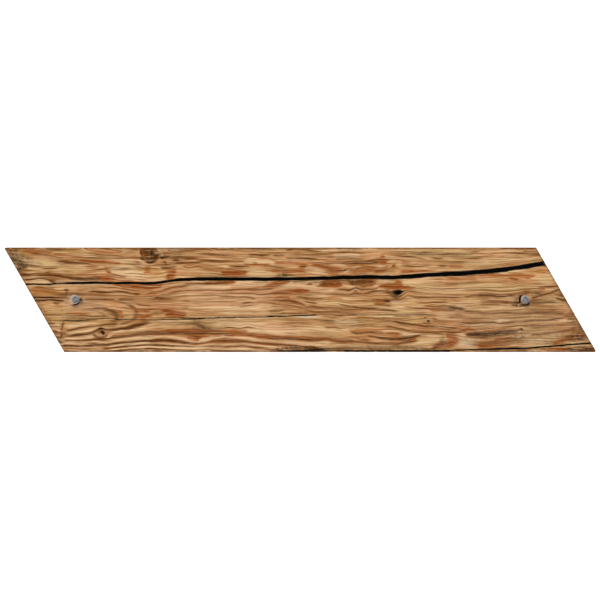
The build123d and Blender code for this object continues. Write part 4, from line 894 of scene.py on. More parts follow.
# Burnt and resinous wood, near black and broken up
BURNT = [
    (0.75, -136, 42, 4, -130, 41, 7, -123, 41, 5),
    (0.6, -253, 43, 3, -247, 38, 6, -242, 31, 8, -238, 25, 5),
    (0.4, 226, -34, 3, 236, -31, 5, 247, -32, 5),
    (0.7, -135, 37, 3, -129, 35, 4, -122, 36.6, 3),
    (0.5, -139, 35.6, 1, -136, 35.4, 2.4, -133, 33.6, 2),
    (0.6, -122, 36.6, 1.6, -117, 36.6, 2, -112, 37, 1.4),
    (0.45, -119, 33, 1.6, -116, 31, 2.2, -112, 28.4, 1.6),
    (0.35, -112, 34, 2, -106, 36, 4, -100, 35, 3),
    (0.9, 143, -29.8, 2, 150, -30, 3, 160, -29.8, 3.6, 172, -28.6, 3.4, 184, -27.6, 2.4),
    (0.75, 0, -41, 1.6, 8, -41.6, 3, 18, -42, 2.6, 30, -42.6, 1.6),
    (0.8, -22, -42.2, 1.4, -12, -41.8, 2.4, -4, -41.6, 2.8, 3, -42, 2.4),
    (0.62, 42, 15.4, 3, 50, 15, 4, 58, 15.2, 4, 64, 15.6, 2.4),
    (0.45, 18, 14, 2, 26, 14.6, 3.4, 33, 14, 2.4),
    (0.6, 128, -6.4, 1, 134, -7.4, 1.8, 139, -8, 2.2, 143, -8.8, 1.4),
    (0.75, -20, 21.2, 1.6, -13, 21.4, 2.8, -6, 20.8, 2),
    (0.45, 40, 43.6, 1.6, 48, 43.8, 2, 56, 43.8, 1.4),
    (0.6, 236, -32, 2, 241, -34, 3.4, 246, -34.6, 3.4),
    (0.9, 226, -42.6, 1.6, 236, -42.8, 3, 248, -42.4, 3.6, 256, -43, 3),
    (0.35, 190, -43.4, 1, 206, -42.6, 2, 222, -42, 2.4),
    (0.7, 228, -33, 3, 238, -32, 5, 247, -33, 5),
    (0.75, 182, -2.6, 3, 186.6, -1.4, 4, 188, 2, 3.4, 190.6, 4.6, 2.4, 195, 5, 2),
    (0.65, 184, -4.4, 2, 190, -5, 3, 196, -4.8, 3, 199.6, -2, 2),
    (0.45, 201, 5, 2, 204.6, 5.6, 4, 206, 3, 3),
    (0.45, 222, 8, 3, 226, 3, 4, 230, -1, 3),
    (0.7, -189.6, -3.6, 2, -187, -1, 3, -187, 2, 2),
    (0.5, -199, 2.6, 1.2, -199.2, -1, 1.4, -197.6, -4.6, 1.4, -193.6, -6, 1.6, -189, -5, 2),
    (0.4, -187, 3, 1.6, -190, 5.2, 1.2, -194, 6, 1),
    (0.35, -197, -4.4, 1.4, -193, -5.6, 2, -188, -5, 2),
    (0.5, -209, -31.6, 1.6, -206, -33, 2.4, -204, -36, 2),
    (0.45, -206, -19, 1.4, -204.6, -24, 1.8, -205, -29, 2),
    (0.4, 180, -2.8, 2, 186, -3.2, 3, 191, -5, 3),
    (0.35, 164, 3.6, 1.6, 174, 3.2, 2, 184, 4.4, 1.6),
    (0.4, -190, -3.6, 1.6, -187.6, -1, 2.2, -187.4, 1.6, 1.4),
    (0.7, 76, 5.4, 1.4, 79.6, 4.4, 3, 82, 2.6, 3, 86, 4, 2),
    (0.5, 71, -0.4, 1.2, 75, -0.6, 2.4, 78.4, -1.4, 1.4),
    (0.95, -127, 44, 2.4, -125.4, 39, 4, -124, 34.6, 3.4),
    (0.45, -90.6, -17, 1.6, -88, -21, 2.6, -82.6, -24, 2.8, -75, -25.4, 2),
    (0.7, -121, 37, 1.6, -116, 36.8, 1.4, -111, 37.4, 1),
    (0.5, 120, -33, 2, 122, -37, 4, 118, -40.6, 3, 112, -42, 2),
    (0.5, 236, -12, 2, 239, -18, 3, 243, -25, 3, 248, -34, 3),
    (0.3, 28, -42.4, 1.2, 60, -42.3, 1.4, 90, -42.4, 1.4, 110, -42.6, 1),
]
for strength, *points in BURNT:
    stroke("burnt", strength, points, guides=False)

# Knots: where branches left the board, each with dark rings, a split heart and pale wood round it
KNOTS = [
    # Big knot on the rear long edge
    ("rust", 1.0, -135, 46, 4.4, -134.4, 42, 5, -133.6, 38.6, 4.4, -133.4, 36.8, 2.6),
    ("rust", 0.8, -130, 46, 4, -129.8, 42, 4.2, -129.6, 38, 3.2),
    ("rust", 0.5, -125.4, 45.6, 3, -124.6, 42.4, 3.4, -124.4, 40, 2.4),
    ("brown", 0.55, -134.6, 46, 3, -133.8, 42.4, 3.4, -133.6, 39, 2.8),
    ("brown", 0.5, -130.4, 46, 3.4, -130, 42, 3.4, -129.8, 38.6, 2.6),
    ("brown", 0.6, -125.4, 46, 2.8, -124.8, 43, 3.4, -124.4, 40.6, 2.6),
    ("brown", 0.9, -126.4, 45, 0.9, -127, 42.4, 1.1, -127.2, 40, 1.2, -127.8, 37.4, 1.2, -128, 34, 1),
    ("rust", 1.0, -136, 40, 5, -130, 40, 9, -124, 40, 6),
    ("brown", 0.5, -135, 42, 5, -129, 42, 6, -124, 41.6, 5),
    ("brown", 0.45, -135.6, 36.6, 3, -129, 34.6, 4.4, -122, 36.6, 3),
    ("brown", 0.95, -134.4, 37.4, 1, -132.6, 37.9, 0.9, -130.4, 38, 1.1, -128.6, 37.8, 0.8),
    ("black", 0.4, -127, 37.6, 1.1, -125, 38, 1.5, -123, 38.6, 1.2, -120.4, 39, 0.9),
    ("brown", 0.75, -126.6, 36, 2.6, -124, 36.6, 2.8, -121.6, 37, 2),
    ("ash", 0.7, -132, 36, 3, -129.6, 35.4, 3.2, -126, 34.6, 3.2, -123.6, 34.8, 2.2),
    ("brown", 0.8, -133.6, 33.4, 1.3, -130.6, 32.1, 1.7, -127.6, 32.1, 1.6, -125, 33.3, 1.4,
     -123, 35, 1.4),
    ("brown", 0.8, -139.4, 35.6, 1, -137.4, 35.6, 2.2, -135, 35, 2.4, -132.6, 34, 2),
    ("brown", 0.8, -136.6, 45, 1, -137, 42, 1.2, -136.6, 39.4, 1.2, -136, 37.4, 1.4),
    ("black", 0.45, -136, 44.6, 1, -133, 44.8, 1.1, -129, 44.7, 1),
    ("black", 0.4, -121.2, 36.6, 0.9, -119.2, 35.8, 1.1, -117.6, 36.2, 0.8),
    ("brown", 0.8, -121.6, 36.4, 1.3, -119.2, 35.9, 1.4, -116.6, 36.4, 1.2, -113.6, 37.2, 0.9),
    ("brown", 0.85, -118.6, 38.6, 1, -117, 38.2, 1.3, -115.6, 38.2, 0.7),
    ("chalk", 0.9, -119.3, 39.2, 0.7, -119.2, 37.4, 0.8),
    ("black", 0.3, -127, 44, 1, -127.4, 40, 1.3, -128, 36, 1.2),
    ("black", 0.26, -134.6, 33.4, 1, -131, 32.2, 1.4, -127.4, 32.6, 1.3, -124, 35, 1.2),
    ("black", 0.2, -137, 43.6, 1, -136.6, 39, 1.2, -135, 35.8, 1.6),
    ("chalk", 0.6, -123.2, 44.4, 0.9, -122, 42.6, 0.9, -121.2, 40.8, 0.8),
    ("chalk", 0.5, -122, 37.8, 0.7, -121, 37, 0.7),
    ("ochre", 0.8, -121, 44.8, 1, -119.3, 43.4, 1.2, -117.4, 42.3, 0.9),
    ("ochre", 0.45, -150, 42, 2, -144, 41.6, 3.4, -139.6, 41, 3.4),
    ("brown", 0.65, -118.4, 33, 0.8, -116.8, 32.6, 0.8, -116, 31, 1.3, -115.8, 29.6, 0.9),
    # Eye by the left nail, in the close rings
    ("ash", 0.85, -175, -27.6, 1.2, -173, -26.8, 1.6, -170.6, -26.9, 1.8, -168.6, -28.4, 1.8),
    ("brown", 0.9, -173.4, -27.4, 1.6, -170.6, -27.4, 2.2, -168.6, -29, 1.8, -170.6, -30, 1.4),
    ("brown", 0.7, -177, -27.4, 0.9, -177.4, -29.6, 1.1, -175, -31.4, 1.1, -171, -32, 1.2, -167, -31, 1),
    ("black", 0.6, -171.6, -27.6, 1, -169.6, -28.6, 1.8, -169.4, -29.8, 1),
    ("black", 0.8, -173, -28.9, 0.8, -171.8, -28.8, 0.8),
    ("black", 0.6, -174.6, -25.6, 0.8, -172.6, -24.6, 0.9, -170.4, -24.5, 1, -168.6, -25.2, 0.8),
    ("chalk", 0.4, -176.4, -28, 0.9, -175.6, -29.8, 0.9, -173.2, -31.2, 1, -170.2, -31.2, 1,
     -168, -30.6, 0.8),
    ("chalk", 0.3, -168.4, -26.8, 0.8, -166.6, -27.2, 1, -165, -28, 0.7),
    ("brown", 0.75, -168, -31.8, 0.7, -166.6, -30.6, 1, -165.4, -29.6, 0.8),
    ("ochre", 0.6, -178.6, -30.8, 1.4, -176.8, -31.4, 1.2, -175, -32.6, 1),
    ("cream", 1.0, -167.2, -32.6, 0.8, -165, -32.2, 1.2, -162, -31.2, 0.9),
    ("rust", 0.7, -175, -32.6, 1, -171.6, -32.8, 1.5, -168.6, -33, 1.1),
    # Resin hole
    ("black", 0.9, 79.6, 7.2, 1, 82, 6.2, 2, 84.4, 6.3, 2.6, 86.6, 7, 1.8, 88.6, 7.6, 0.9),
    ("ash", 0.8, 76, 4.6, 1.4, 79, 4.4, 2.6, 82, 3.4, 2.6, 86, 4.4, 1.6),
    ("rust", 0.8, 70, 11.6, 1.4, 78, 10.4, 2.6, 86, 11, 3, 94, 10.4, 2, 100, 10.6, 1),
    ("brown", 0.9, 81.4, 5, 1.8, 82.6, 3.8, 2, 84.4, 3.8, 1.4),
    ("brown", 0.85, 79.6, 8, 1.2, 83, 8.5, 1.2, 87, 8.5, 1),
    ("brown", 0.7, 82, 4, 1.4, 82.6, 2.8, 1.2, 84, 4, 1.2),
    ("chalk", 0.4, 77.6, -2, 1.2, 80, -2.2, 1.8, 84, -2, 1.6, 88, -1.8, 1.2),
    # Ink-black start of the line under it
    ("black", 0.4, 72.6, -0.3, 0.9, 75.6, -1, 1.2, 77.8, -1.6, 0.8),
    ("brown", 0.85, 70, -0.6, 1.2, 73.4, -0.8, 1.6, 76.6, -1.8, 1.1),
    ("brown", 0.55, 71, 0.4, 1, 76, 0.6, 1.2, 82, 0.5, 1, 88, 0.8, 0.9, 93, 1.1, 0.8, 98, 1, 0.6),
    # Small eye in the middle of the right half
    ("chalk", 0.45, 106.6, -18.4, 0.9, 108, -17.2, 1.1, 110, -16.6, 1, 112, -17.2, 1.1, 112.8, -18.6, 1.2,
     112, -19.6, 1),
    ("brown", 0.95, 109.2, -17.8, 1.6, 110.4, -19, 1.8),
    ("black", 0.6, 109.4, -18, 1.1, 110.4, -19, 1.2),
    ("brown", 0.65, 104.8, -18.2, 0.7, 107, -19.8, 0.9, 108.8, -20.6, 1, 110.6, -21, 1,
     112.6, -20.4, 0.7),
    ("brown", 0.7, 106.6, -16.3, 0.9, 108.4, -15.6, 1, 110, -15.8, 0.7),
    ("brown", 0.5, 106, -22.4, 0.8, 109, -23.4, 1.1, 112.6, -22.8, 0.8),
    ("brown", 0.6, 112.8, -16.2, 0.7, 115, -16.2, 1, 118, -16.3, 0.8),
    ("ochre", 0.5, 119.6, -18.7, 1, 122, -18.7, 1.1),
    # Eye in the dark patch by the front right nail
    ("ash", 0.5, 184, -28, 1.4, 187, -28.4, 1.6, 190.4, -28.2, 1.2),
    ("chalk", 0.5, 185.6, -28.4, 0.9, 188, -27.2, 1.1, 191, -27.4, 1, 193, -26.8, 1.4),
    ("chalk", 0.4, 185, -31.6, 0.9, 188, -32.2, 1, 190, -31.8, 0.8),
    ("black", 0.5, 190.2, -28, 0.8, 190, -29, 0.9),
    ("brown", 0.8, 190.3, -30.4, 0.9, 190.8, -30.9, 0.9),
    ("black", 0.45, 188.4, -25.9, 0.8, 190.4, -25.3, 1, 191.8, -26.4, 0.9),
    ("brown", 0.7, 184.4, -26.9, 0.8, 187, -26, 1, 189.6, -25.3, 1, 191.6, -25.8, 1),
    ("brown", 0.7, 183.4, -30.2, 0.7, 185.6, -30.9, 1, 187.4, -31, 0.7),
    # Twin eye beside the long stains
    ("chalk", 0.4, 44.6, 8, 1.2, 47, 9.2, 1.2, 49, 9.2, 1),
    ("ash", 0.45, 45, 7.2, 1.4, 48, 8.4, 1.6, 50.4, 7.6, 1.4),
    ("brown", 0.95, 46.4, 7, 0.8, 47.2, 7.4, 0.9, 48, 8.2, 0.7),
    ("brown", 0.95, 49.2, 7.7, 0.8, 49.5, 8.1, 0.8),
    ("brown", 0.5, 44.4, 6.2, 0.7, 46.4, 5.3, 0.9, 49.4, 5.4, 0.9, 51.6, 5.2, 0.7, 52.8, 6.6, 0.7,
     52.4, 8, 0.7),
    ("brown", 0.9, 41, 16.6, 1, 42.4, 16.5, 1.1),
    ("ochre", 0.9, 42, 15.2, 1.3, 43, 13.8, 1.6, 43.4, 12.8, 1.2),
    ("brown", 0.6, 42.6, 15, 1, 44, 13.6, 1.4, 47, 13.2, 1.3, 50.6, 12.9, 1),
    ("brown", 0.55, 51, 16.4, 1.2, 55, 16.6, 1.5, 60, 16.8, 1.2),
    ("brown", 0.6, 51, 12, 0.8, 54, 11.4, 1, 57.4, 11.6, 0.9),
    ("chalk", 0.85, -3, -14.9, 0.9, 7, -14.8, 1.3, 17, -14.5, 0.8),
    # Small bump on the rear left half
    ("brown", 0.5, -40, 30, 1.2, -39, 31.6, 1.1, -38, 30.6, 1.1, -37.2, 29.6, 1),
    ("rust", 0.6, -41, 29.6, 1.4, -38.6, 30.4, 2, -36.6, 29.8, 1.2),
    # Damp marks along the saw cut by the front left corner
    ("brown", 0.75, -203.4, -18.6, 1, -203.8, -21, 1.1, -204.2, -24, 1.2, -204.6, -27, 1.3),
    ("brown", 0.85, -206.4, -28, 1.1, -205.6, -29.6, 1.3, -205.6, -31.4, 1.7, -205.8, -33, 1.3),
    ("brown", 0.55, -203, -26, 0.8, -203.4, -28.6, 1, -203.4, -31, 1.1, -203.8, -34, 0.9),
    ("brown", 0.9, -213.4, -26.4, 1.2, -210.8, -27.2, 1, -208, -27.8, 0.9),
    ("brown", 0.8, -210.6, -31.4, 1, -208, -32.2, 1.2, -205.6, -33, 1.3),
    ("brown", 1.0, -209, -34.6, 1.1, -206.8, -35.8, 1.3, -204.4, -36, 1),
    ("rose", 0.9, -208.4, -29.2, 1.2, -206.8, -29.8, 1.4),
    ("rose", 0.6, -205.4, -37, 1, -203.4, -37.6, 1.2),
]
for ink, strength, *points in KNOTS:
    stroke(ink, strength, points, hardness=2.6, share=0.66, guides=False)

# Nails: the heads of two round nails, with a pale bruise on one side and a dark dent round the other
NAILS = [(-193.5, 0.3, 3.75), (193.6, 0.2, 3.6)]  # x, y and radius
NAIL_PLACES = [
    ("black", 0.7, -196.6, -3.9, 0.7, -194.6, -4.3, 0.9, -192.4, -4, 1.1, -190.6, -2.8, 1.2,
     -189.4, -1, 1.1),
    ("brown", 1.0, -190, -2.6, 2, -188.2, -1, 2.8, -188, 1, 2.4, -187, 2, 1),
    ("black", 0.55, -189.2, -1.6, 1, -188.6, 0.4, 1.2, -187.4, 0.6, 0.9),
    ("chalk", 0.7, -186.6, 2.2, 0.7, -185.4, 0.8, 0.8, -185.2, -1.2, 0.8, -186.4, -2.6, 0.7),
    ("chalk", 0.9, -197.8, -1, 0.7, -197.9, 1, 0.9, -197, 2.8, 0.9, -195.4, 4.2, 0.8, -193, 4.6, 0.6),
    ("chalk", 0.5, -200.4, 3, 0.9, -198.4, 3.4, 0.9),
    ("ash", 0.5, -198, 4.6, 1, -194, 5.4, 1.3, -190, 4, 1.3),
    ("ash", 0.5, -198, -4.4, 1, -194, -5.8, 1.4, -189, -4.6, 1.6, -186, -4, 1.2),
    ("brown", 0.45, -202.6, -2.4, 0.7, -201, -3.2, 0.8, -200.2, -2.4, 0.6),
    ("black", 0.75, 190.8, 3.9, 0.9, 189.2, 2.6, 1.4, 188.8, 0.6, 1.6, 189, -1.4, 1.4, 187.4, -2.8, 1),
    ("black", 0.6, 189.4, -4, 1, 192, -4.5, 1.2, 194.6, -4.4, 1.2, 196.8, -3, 1, 197.8, -1, 0.7),
    ("brown", 0.9, 181, -3.4, 1, 184, -4.6, 1.5, 187.6, -4.6, 1.5),
    ("brown", 0.8, 184, -0.8, 1, 186.4, -1.8, 1.6, 186, -6.4, 1.2),
    ("chalk", 0.8, 189.4, 1, 0.6, 190.2, 2.6, 0.8, 191.6, 3.8, 0.7),
    ("chalk", 0.6, 186.6, -3.8, 0.8, 188, -4.8, 0.9, 187.4, -5.8, 0.8),
    ("chalk", 0.6, 197.6, -2.6, 0.7, 199, -3, 0.9),
    ("ash", 0.6, 190, -5.6, 1.2, 194, -6, 1.6, 197.4, -5, 1.4, 198.6, -2, 1, 198.8, 1, 0.9),
    ("rust", 0.5, 189, 5.6, 1.2, 193, 5.6, 1.4, 197, 4.8, 1.2),
]
for ink, strength, *points in NAIL_PLACES:
    stroke(ink, strength, points, hardness=2.6, guides=False)

# Fibre direction, worked out from the strokes and carried outwards from the middle of the plank
FIBRE_MEMORY = 45.0  # over this length a bend in the fibres dies away again
slope = slope_sum / slope_weight
fibre = np.zeros(X.shape)
middle = len(along) // 2
fibre[:, middle] = across
for here in list(range(middle + 1, len(along))) + list(range(middle - 1, -1, -1)):
    before = here - 1 if here > middle else here + 1
    run = along[here] - along[before]
    carried = np.interp(across - slope[:, before] * run, across, fibre[:, before])
    settled = min(abs(run) / FIBRE_MEMORY, 1)
    fibre[:, here] = carried * (1 - settled) + across * settled

# The face as pressed
# The punch leaves a shallow relief in step with the print: cracks sunk, rings a little low, nails proud.
# It is the tile's own porcelain, and so are the rounded arris and the upright edge that run down from it.
CRACK_DEPTH = 0.5
RING_DEPTH = 0.07
WEATHERED_DEPTH = 0.04
NAIL_HEIGHT = 0.1
NAIL_CROWN = 0.03  # what a nail's head falls by, from its middle to its edge
FACE_LEVEL = THICKNESS - 0.12  # the ground between cracks and nails

relief = -CRACK_DEPTH * inks["black"] - RING_DEPTH * inks["brown"] - WEATHERED_DEPTH * inks["ash"]
relief += wander(40, 6, 0.012) + wander(12, 1.6, 0.008)
for nail_x, nail_y, nail_radius in NAILS:
    gone = np.hypot(X - nail_x, Y - nail_y) / nail_radius
    head = np.clip((1.12 - gone) / 0.2, 0, 1)
    relief = relief * (1 - head) + head * (NAIL_HEIGHT - NAIL_CROWN * gone**2)

rows_count, columns_count = X.shape
border = ([(0, j) for j in range(columns_count)] + [(i, columns_count - 1) for i in range(1, rows_count)]
          + [(rows_count - 1, j) for j in range(columns_count - 2, -1, -1)]
          + [(i, 0) for i in range(rows_count - 2, 0, -1)])
corners = [(0, 0), (0, columns_count - 1), (rows_count - 1, columns_count - 1), (rows_count - 1, 0)]
right_normal = math.pi / 2 - CUT_ANGLE
side_angles = [-math.pi / 2, right_normal, math.pi / 2, right_normal + math.pi]

# Each entry of the rim: its border point and the direction that it faces
rim = []
side = 0
for place in border:
    if place in corners:
        turn_from = side_angles[side - 1] if place == corners[0] else side_angles[side]
        if place != corners[0]:
            side += 1
        turn_to = side_angles[side]
        while turn_to < turn_from:
            turn_to += 2 * math.pi
        for angle in np.linspace(turn_from, turn_to, CORNER_STEPS + 1):
            rim.append((place, angle))
    else:
        rim.append((place, side_angles[side]))

# The bedding side and its bevel are kept as pressed, and the rest is made anew above them
SAME_POINT = 2e-6  # metres
LEVEL_SLACK = 0.01
OUTLINE_STRETCH = 2.5  # across the plank, so that its border's points sort by their angle

mesh = bmesh.new()
mesh.from_mesh(blank.data)
bmesh.ops.remove_doubles(mesh, verts=mesh.verts, dist=SAME_POINT)
above = [v for v in mesh.verts if v.co.z > (BEVEL_HEIGHT + LEVEL_SLACK) * MM]
bmesh.ops.delete(mesh, geom=above, context="VERTS")
layers = {name: mesh.verts.layers.float.new(name) for name in [*inks, "fibre", "inset"]}
picture = mesh.loops.layers.uv.new("OFBake")
lower_loop = [v for v in mesh.verts if v.is_boundary]
lower_loop.sort(key=lambda v: math.atan2(v.co.y * OUTLINE_STRETCH, v.co.x))


def add_point(place, x, y, z, inset):
    """One point of the face or arris, with its inks and how far it is in from the outline."""
    point = mesh.verts.new((x * MM, y * MM, z * MM))
    for name in inks:
        point[layers[name]] = inks[name][place]
    point[layers["fibre"]] = fibre[place]
    point[layers["inset"]] = inset
    return point


to_sides = WIDTH / 2 - np.abs(Y)
to_ends = (HALF_CHORD - np.abs(X + LEAN * Y)) * math.sin(CUT_ANGLE)
inset = np.minimum(to_sides, to_ends)
face_points = [[add_point((i, j), X[i, j], Y[i, j], FACE_LEVEL + relief[i, j], inset[i, j])
                for j in range(columns_count)] for i in range(rows_count)]
for i in range(rows_count - 1):
    for j in range(columns_count - 1):
        mesh.faces.new((face_points[i][j], face_points[i][j + 1],
                        face_points[i + 1][j + 1], face_points[i + 1][j]))

# Arris: quarter round from the face down to the edge, then the edge down to the bevel
previous = [face_points[place[0]][place[1]] for place, angle in rim]
for step in range(ARRIS_STEPS + 1):
    turn = math.pi / 2 * step / ARRIS_STEPS
    out = CORNER_RADIUS - ARRIS + ARRIS * math.sin(turn)
    drop = ARRIS * (1 - math.cos(turn))
    ring = []
    for place, angle in rim:
        x = X[place] + out * math.cos(angle)
        y = Y[place] + out * math.sin(angle)
        height = FACE_LEVEL + relief[place] * math.cos(turn) - drop
        ring.append(add_point(place, x, y, height, CORNER_RADIUS - out))
    for k in range(len(rim)):
        n = (k + 1) % len(rim)
        corner = [previous[k], ring[k], ring[n], previous[n]]
        if previous[k] is previous[n]:
            corner.pop()
        mesh.faces.new(corner)
    previous = ring


def around(points):
    """Each point's share of the way round its own loop."""
    place = np.array([(p.co.x, p.co.y) for p in points])
    gone = np.hypot(*(np.roll(place, -1, axis=0) - place).T)
    return np.concatenate([[0], np.cumsum(gone)]) / gone.sum()


# The upright edge joins the fine rim to the coarser bevel, point by point round the tile
start = min(range(len(previous)), key=lambda k: (previous[k].co - lower_loop[0].co).length)
upper_loop = previous[start:] + previous[:start]
upper_share = around(upper_loop)
lower_share = around(lower_loop)
u = 0
d = 0
while u < len(upper_loop) or d < len(lower_loop):
    top = upper_loop[u % len(upper_loop)]
    foot = lower_loop[d % len(lower_loop)]
    if d == len(lower_loop) or (u < len(upper_loop) and upper_share[u + 1] < lower_share[d + 1]):
        mesh.faces.new((top, foot, upper_loop[(u + 1) % len(upper_loop)]))
        u += 1
    else:
        mesh.faces.new((top, foot, lower_loop[(d + 1) % len(lower_loop)]))
        d += 1
bmesh.ops.recalc_face_normals(mesh, faces=mesh.faces)

# Where each face lies on the flat picture: the print in two halves, the edges in strips, then the back
PRINT_SPAN = 286  # millimetres across the picture, for the print
PLAIN_SPAN = 515  # and for the edges and the back
PRINT_SHIFTS = (256, 28)  # along the picture, for the left and the right half
PRINT_ROWS = (0.0, 0.325)  # and up it, as a share of its height
PLAIN_SHIFT = 257
END_SHIFTS = (180, 60)
EDGE_ROWS = (0.676, 0.652)  # front edge and rear edge
END_ROW = 0.7
BACK_ROW = 0.735
Y_SHIFT = 46
Z_SHIFT = 1
EDGE_LEVEL = BEVEL_HEIGHT + 1  # on the upright edge, between the bevel and the arris
for face in mesh.faces:
    heights = [v.co.z / MM for v in face.verts]
    centre = face.calc_center_median() / MM
    on_right = int(centre.x + LEAN * centre.y > along[middle])
    for loop in face.loops:
        x, y, z = loop.vert.co / MM
        if min(heights) > EDGE_LEVEL:
            u = (x + PRINT_SHIFTS[on_right]) / PRINT_SPAN
            v = (y + Y_SHIFT) / PRINT_SPAN + PRINT_ROWS[on_right]
        elif max(heights) < EDGE_LEVEL:
            u = (x + PLAIN_SHIFT) / PLAIN_SPAN
            v = (y + Y_SHIFT) / PLAIN_SPAN + BACK_ROW
        elif abs(face.normal.y) > 0.8:
            u = (x + PLAIN_SHIFT) / PLAIN_SPAN
            v = (z + Z_SHIFT) / PLAIN_SPAN + EDGE_ROWS[face.normal.y > 0]
        else:
            u = (y / math.sin(CUT_ANGLE) + END_SHIFTS[on_right]) / PLAIN_SPAN
            v = (z + Z_SHIFT) / PLAIN_SPAN + END_ROW
        loop[picture].uv = (u, v)

body = bpy.data.meshes.new("tile_body")
mesh.to_mesh(body)
mesh.free()
for polygon in body.polygons:
    polygon.use_smooth = True
tile = bpy.data.objects.new("tile_printed", body)
bpy.context.scene.collection.objects.link(tile)

# Glaze and print
# Ceramic inks under a thin matt glaze, fired together with the body, while sides and back stay bare.
# Each colour is laid over those before it, in the order of the print.
STUDIO_LEVEL = 1.35  # how bright the lights below make a white card, against plain white
SHEEN = 0.0025  # and what the glaze's gloss adds to any colour


def printed(red, green, blue):
    """A colour as it looks on the tile, as the share of light that the surface gives back."""
    shares = [((c / 255 + 0.055) / 1.055) ** 2.4 - SHEEN for c in (red, green, blue)]
    return (*[max(share, 0) / STUDIO_LEVEL for share in shares], 1)


class Amount:
    """A number that varies over the surface: sums on it become nodes of its material."""

    def __init__(self, tree, socket):
        self.tree = tree
        self.socket = socket

    def node(self, kind, settings=None, sockets=None, out=0):
        made = self.tree.nodes.new(kind)
        for name, value in (settings or {}).items():
            setattr(made, name, value)
        for name, value in (sockets or {}).items():
            if isinstance(value, Amount):
                self.tree.links.new(value.socket, made.inputs[name])
            else:
                made.inputs[name].default_value = value
        return Amount(self.tree, made.outputs[out])

    def sum(self, operation, first, second):
        return self.node("ShaderNodeMath", {"operation": operation}, {0: first, 1: second})

    def __add__(self, other):
        return self.sum("ADD", self, other)

    def __radd__(self, other):
        return self.sum("ADD", other, self)

    def __sub__(self, other):
        return self.sum("SUBTRACT", self, other)

    def __rsub__(self, other):
        return self.sum("SUBTRACT", other, self)

    def __mul__(self, other):
        return self.sum("MULTIPLY", self, other)

    def __rmul__(self, other):
        return self.sum("MULTIPLY", other, self)

    def __pow__(self, other):
        return self.sum("POWER", self, other)

    def held(self, lowest=0.0, highest=1.0):
        return self.node("ShaderNodeClamp", {}, {"Value": self, "Min": lowest, "Max": highest})

    def step(self, start, end):
        """0 below start, 1 above end, smooth between."""
        return self.node("ShaderNodeMapRange", {"interpolation_type": "SMOOTHSTEP"},
                         {"Value": self, "From Min": start, "From Max": end})


glaze = bpy.data.materials.new("printed_glaze")
glaze.use_nodes = True
tree = glaze.node_tree
tree.nodes.clear()
base = Amount(tree, None)
position = base.node("ShaderNodeTexCoord", out=3)
split = base.node("ShaderNodeSeparateXYZ", {}, {0: position})
x_mm = Amount(tree, split.socket.node.outputs[0]) * 1000
y_mm = Amount(tree, split.socket.node.outputs[1]) * 1000
z_mm = Amount(tree, split.socket.node.outputs[2]) * 1000


def ink_amount(name):
    return base.node("ShaderNodeAttribute", {"attribute_name": name}, out=2)


fibre_mm = ink_amount("fibre")
NOISE_MIDDLE = 0.5
NOISE_GAIN = 2.6  # brings its highest places to about 1


def streaks(length, height, seed, detail=2.0, rough=0.5):
    """Noise drawn out along the fibres: about 0 at its middle and 1 at its highest."""
    vector = base.node("ShaderNodeCombineXYZ", {},
                       {0: x_mm * (1 / length), 1: fibre_mm * (1 / height), 2: seed})
    noise = base.node("ShaderNodeTexNoise", {},
                      {"Vector": vector, "Scale": 1.0, "Detail": detail, "Roughness": rough})
    return (noise - NOISE_MIDDLE) * NOISE_GAIN


def mottle(size, seed, detail=3.0):
    """The same with round spots of the given size."""
    vector = base.node("ShaderNodeVectorMath", {"operation": "SCALE"},
                       {0: position, "Scale": 1000 / size})
    moved = base.node("ShaderNodeVectorMath", {"operation": "ADD"}, {0: vector, 1: (seed, seed, seed)})
    noise = base.node("ShaderNodeTexNoise", {}, {"Vector": moved, "Scale": 1.0, "Detail": detail})
    return (noise - NOISE_MIDDLE) * NOISE_GAIN


def lay(under, colour, amount):
    """Print a colour over what is there already."""
    mixed = base.node("ShaderNodeMix", {"data_type": "RGBA"}, out=2)
    node = mixed.socket.node
    tree.links.new(amount.socket, node.inputs[0])
    for value, socket in ((under, node.inputs[6]), (colour, node.inputs[7])):
        if isinstance(value, Amount):
            tree.links.new(value.socket, socket)
        else:
            socket.default_value = value
    return mixed


# The wood's own streaks, each with its length and height in millimetres and its seed
thread = streaks(50, 0.9, 1.7, 3.0, 0.6)
band = streaks(80, 2.2, 5.1, 2.0)
bar = streaks(60, 3.6, 33.0, 1.5)
broad = streaks(70, 8.0, 9.3, 2.0)
tint = streaks(55, 12.0, 14.9, 2.0)
hair = streaks(14, 0.5, 21.0, 2.0)
grain = streaks(28, 0.65, 40.0, 3.0, 0.6)

# Clear wood: two tones, darker clouds, light early wood and dark late wood
wood = lay(printed(196, 154, 100), printed(202, 140, 92), (tint * 1.3 + 0.5).held())
wood = lay(wood, printed(178, 126, 78), (broad * 1.3 + 0.3).held() * 0.6)
early_wood = band * 1.7 + bar * 0.9 + thread * 1.1 + grain * 0.8 - 0.1
wood = lay(wood, printed(230, 190, 142), early_wood.held())
late_wood = 0.0 - band * 1.3 - bar * 0.8 - thread * 1.1 - grain * 0.9
wood = lay(wood, printed(98, 60, 26), late_wood.held())


def feathered(name, raggedness):
    """An ink whose edges run out along the fibres in streaks."""
    ink = ink_amount(name)
    return ink + (thread * 0.8 + grain * 0.6 + band * 0.3) * ink.step(0.0, 0.35) * raggedness


